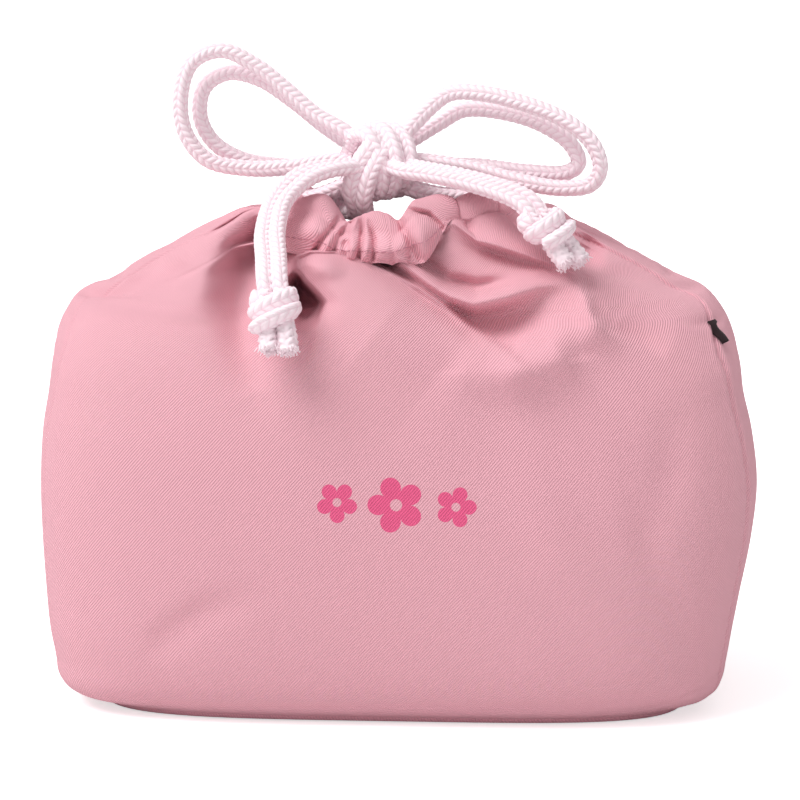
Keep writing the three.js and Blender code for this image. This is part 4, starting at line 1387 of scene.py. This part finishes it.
# The turns of the bow knot, as places off its middle.
WRAP_TURNS = [
    [[2.4, -4, 9.4], [-0.6, -9.4, 6], [-4.8, -11.4, -0.6], [-6.8, -10.6, -7.4],
     [-5.6, -6.5, -13.4], [-8.5, -0.5, -14.6], [-12, 4, -10]],
    [[4.6, -5, 8], [2.2, -10.4, 3.2], [-1.2, -12.4, -4.0], [-2.8, -10.8, -10.4],
     [-3.2, -5, -14.6], [-6, 1, -14.4], [-8, 6, -9]],
]
CORE_TURNS = [
    [[-7.5, 3, 4.5], [-5.5, -3, 9.4], [-1.6, -7.5, 9.6], [1.5, -10, 4.5], [3.4, -10.6, -1.6],
     [2.6, -8.6, -7], [0, -4, -9]],
    [[-4, 6, 7.5], [-0.6, 0, 11.6], [4.4, -5.6, 9.6], [7, -9.4, 3.8], [7.6, -9.4, -2.4],
     [5.4, -6.6, -7.6], [2, -1, -8.6]],
    [[2, 8, 8.5], [5, 2, 11], [9.4, -3, 8], [11.4, -6.6, 2], [10.8, -6.4, -3.6], [8.2, -2, -7.6],
     [4, 2, -8]],
    [[-8, 2, 5], [-9.5, 5, -1], [-7, 8, -6], [0, 9.5, -8], [7, 8, -6], [9.5, 5, 0], [7, 7, 6]],
    [[-6, 7, 6], [-7, 9, 0], [0, 10.5, -2], [7, 9, 0], [5, 8, 6]],
]


# The cord is a little thicker in the knot, where it is pulled flat.
WRAP_GIRTH, CORE_GIRTH = 3.1, 2.85
# The filling between the turns of the core: its half sizes, its rings and their points.
FILLING = np.array([7.5, 7.5, 8.0])
FILLING_RINGS, FILLING_POINTS = 18, 28


def turned_cord(turns, girth):
    return [
        cord_mesh(through(from_bow(t), 0.45), radius=girth, first=(0, -1, 0.3), start=3.1 * k)
        for k, t in enumerate(turns)
    ]


def bow_knot():
    cord_piece("braided_bow_wrap", "bow_knot_wrap", "bag", turned_cord(WRAP_TURNS, WRAP_GIRTH))
    ball = np.array([
        [math.cos(a) * math.cos(b), math.sin(a) * math.cos(b), math.sin(b)]
        for b in np.linspace(-1.57, 1.57, FILLING_RINGS)
        for a in np.linspace(0, 2 * math.pi, FILLING_POINTS, endpoint=False)
    ])
    faces = grid_faces(FILLING_RINGS, FILLING_POINTS, closed=True).tolist()
    # the filling's braid places all lie between stitches, so it takes the cord's painted shade all over
    filling = (BOW + ball * FILLING, faces, [[(0.0, 0.0)] * 4] * len(faces))
    meshes = turned_cord(CORE_TURNS, CORE_GIRTH) + [filling]
    cord_piece("braided_bow_core", "bow_knot_core", "bag", meshes)


# A cut end's cord and how rough it is, and its loose fibres: their number, radius and spread.
END_RADIUS, END_RELIEF, END_ROUGHNESS = 3.15, 0.7, 0.13
FIBRES, FIBRE_RADIUS, FIBRE_SPREAD = 110, 0.16, 1.3


def frayed_end(side, word, body, sign, entry, along, across, facing):
    """The cut end of a strand below its knot, with loose fibres."""
    start = entry + along * 11.5 + across * sign * 2.4
    spread = across * sign * 0.5
    end = start + along * (9.6 + 0.7 * sign) + spread
    random = np.random.default_rng(5 + sign + len(side))
    line = through([start, (start + end) / 2 + spread * 0.2, end], 0.4)
    vertices, faces, _ = cord_mesh(line, radius=END_RADIUS, relief=END_RELIEF, first=facing, end_taper=0.4)
    parts = [(vertices + random.normal(0, END_ROUGHNESS, vertices.shape), faces)]
    for _ in range(FIBRES):
        aside = random.normal(0, FIBRE_SPREAD, 2)
        root = end - along * 0.9 + across * aside[0] + facing * aside[1]
        tip = (root + along * random.uniform(0.9, 1.9)
               + across * random.normal(0, 0.5) + facing * random.normal(0, 0.5))
        parts.append(capsule(root, tip, FIBRE_RADIUS, 4))
    # the end is pale all over
    parts = [(v, f, [[STITCH_TOP] * len(face) for face in f]) for v, f in parts]
    cord_piece(f"frayed_{side}_end_{word}", f"{side}_cord_end_{word}", body, parts)


def stopper_knots():
    """Each tail's overhand knot: two bands of cord wound round both strands, then the cut ends."""
    for side, body, (entry, along, across), words, lag in (
        ("left", "left_tail", LEFT_FOOT, ("outer", "inner"), 0),
        ("right", "right_tail", RIGHT_FOOT, ("front", "back"), 0.6),
    ):
        facing = np.cross(along, across)
        facing *= np.sign(-facing[1]) or 1
        middle = entry + along * 7.0
        turn = np.linspace(0, 2 * math.pi * 2.05, 70)
        climb = -4.6 + 9.2 * turn / turn[-1]
        tilt = 1.6 * np.cos(turn + 0.4 + lag)
        coil = middle + across * (5.5 * np.cos(turn + 2.6))[:, None]
        coil = coil + facing * (4.1 * np.sin(turn + 2.6))[:, None] + along * (climb + tilt)[:, None]
        meshes = [cord_mesh(through(coil, 0.45), radius=2.2, first=along, relief=0.28, squash=1.6)]
        for sign in (-1, 1):
            start = entry + across * sign * 2.3 + along * 1
            meshes.append(cord_mesh(through([start, start + along * 12.4], 0.5), first=facing))
        cord_piece(f"braided_{side}_stopper_knot", f"{side}_stopper_knot", body, meshes)
        for sign, word in zip((-1, 1), words):
            frayed_end(side, word, body, sign, entry, along, across, facing)


# The stage and its light.
FLOOR_CORNERS = [(-40, -3, 0), (40, -3, 0), (40, 80, 0), (-40, 80, 0)]
# What the floor adds of its own where the camera sees it, so that it fades into the backdrop.
FLOOR_GLOW = 0.6


def add_stage():
    floor_mesh = bpy.data.meshes.new("floor")
    floor_mesh.from_pydata(FLOOR_CORNERS, [], [(0, 1, 2, 3)])
    floor = add_object("floor", floor_mesh)
    paint, tree, surface = new_material(
        "pale floor", Base_Color=(0.85, 0.84, 0.845, 1), Roughness=0.6, Specular_IOR_Level=0.1,
        Emission_Color=(1, 1, 1, 1),
    )
    seen = tree.nodes.new("ShaderNodeLightPath").outputs["Is Camera Ray"]
    tree.links.new(maths_in(tree)("MULTIPLY", seen, FLOOR_GLOW), surface.inputs["Emission Strength"])
    floor_mesh.materials.append(paint)


def add_lamp(name, kind, way, place=(0, 0, 0), **values):
    """A lamp of the stage, with the way it shines and the values of its kind."""
    data = bpy.data.lights.new(name, kind)
    for key, value in values.items():
        setattr(data, key, value)
    lamp = add_object(name, data)
    lamp.location = place
    lamp.rotation_euler = way.to_track_quat("-Z", "Y").to_euler()


def add_light():
    add_lamp("soft sun", "SUN", Vector((0.58, 0.33, -1.06)), energy=2.12, angle=math.radians(38))
    place = (-0.62, -0.35, 0.75)
    add_lamp(
        "left lamp", "AREA", Vector((-0.06, 0, 0.1)) - Vector(place), place,
        shape="RECTANGLE", size=0.5, size_y=0.5, energy=1.1,
    )
    world = bpy.data.worlds.new("studio")
    bpy.context.scene.world = world
    world.use_nodes = True
    nodes, links = world.node_tree.nodes, world.node_tree.links
    # the backdrop is white to the camera, and a dimmer grey to everything else
    mix = nodes.new("ShaderNodeMix")
    mix.data_type = "RGBA"
    links.new(nodes.new("ShaderNodeLightPath").outputs["Is Camera Ray"], mix.inputs["Factor"])
    mix.inputs["A"].default_value = (0.565, 0.55, 0.555, 1)
    mix.inputs["B"].default_value = (1.0, 1.0, 1.0, 1)
    links.new(mix.outputs["Result"], nodes["Background"].inputs["Color"])


add_camera()
unfolded, moved, angle, folds, seams = shell_pieces()
for side in ("front", "back"):
    channel_piece(side, moved[-1], angle[-1])
lining_pieces(unfolded, folds)
base_piece(moved)
tab_piece(moved, seams)
cords()
bow_knot()
stopper_knots()
add_stage()
add_light()
bpy.context.scene.view_settings.view_transform = "Standard"
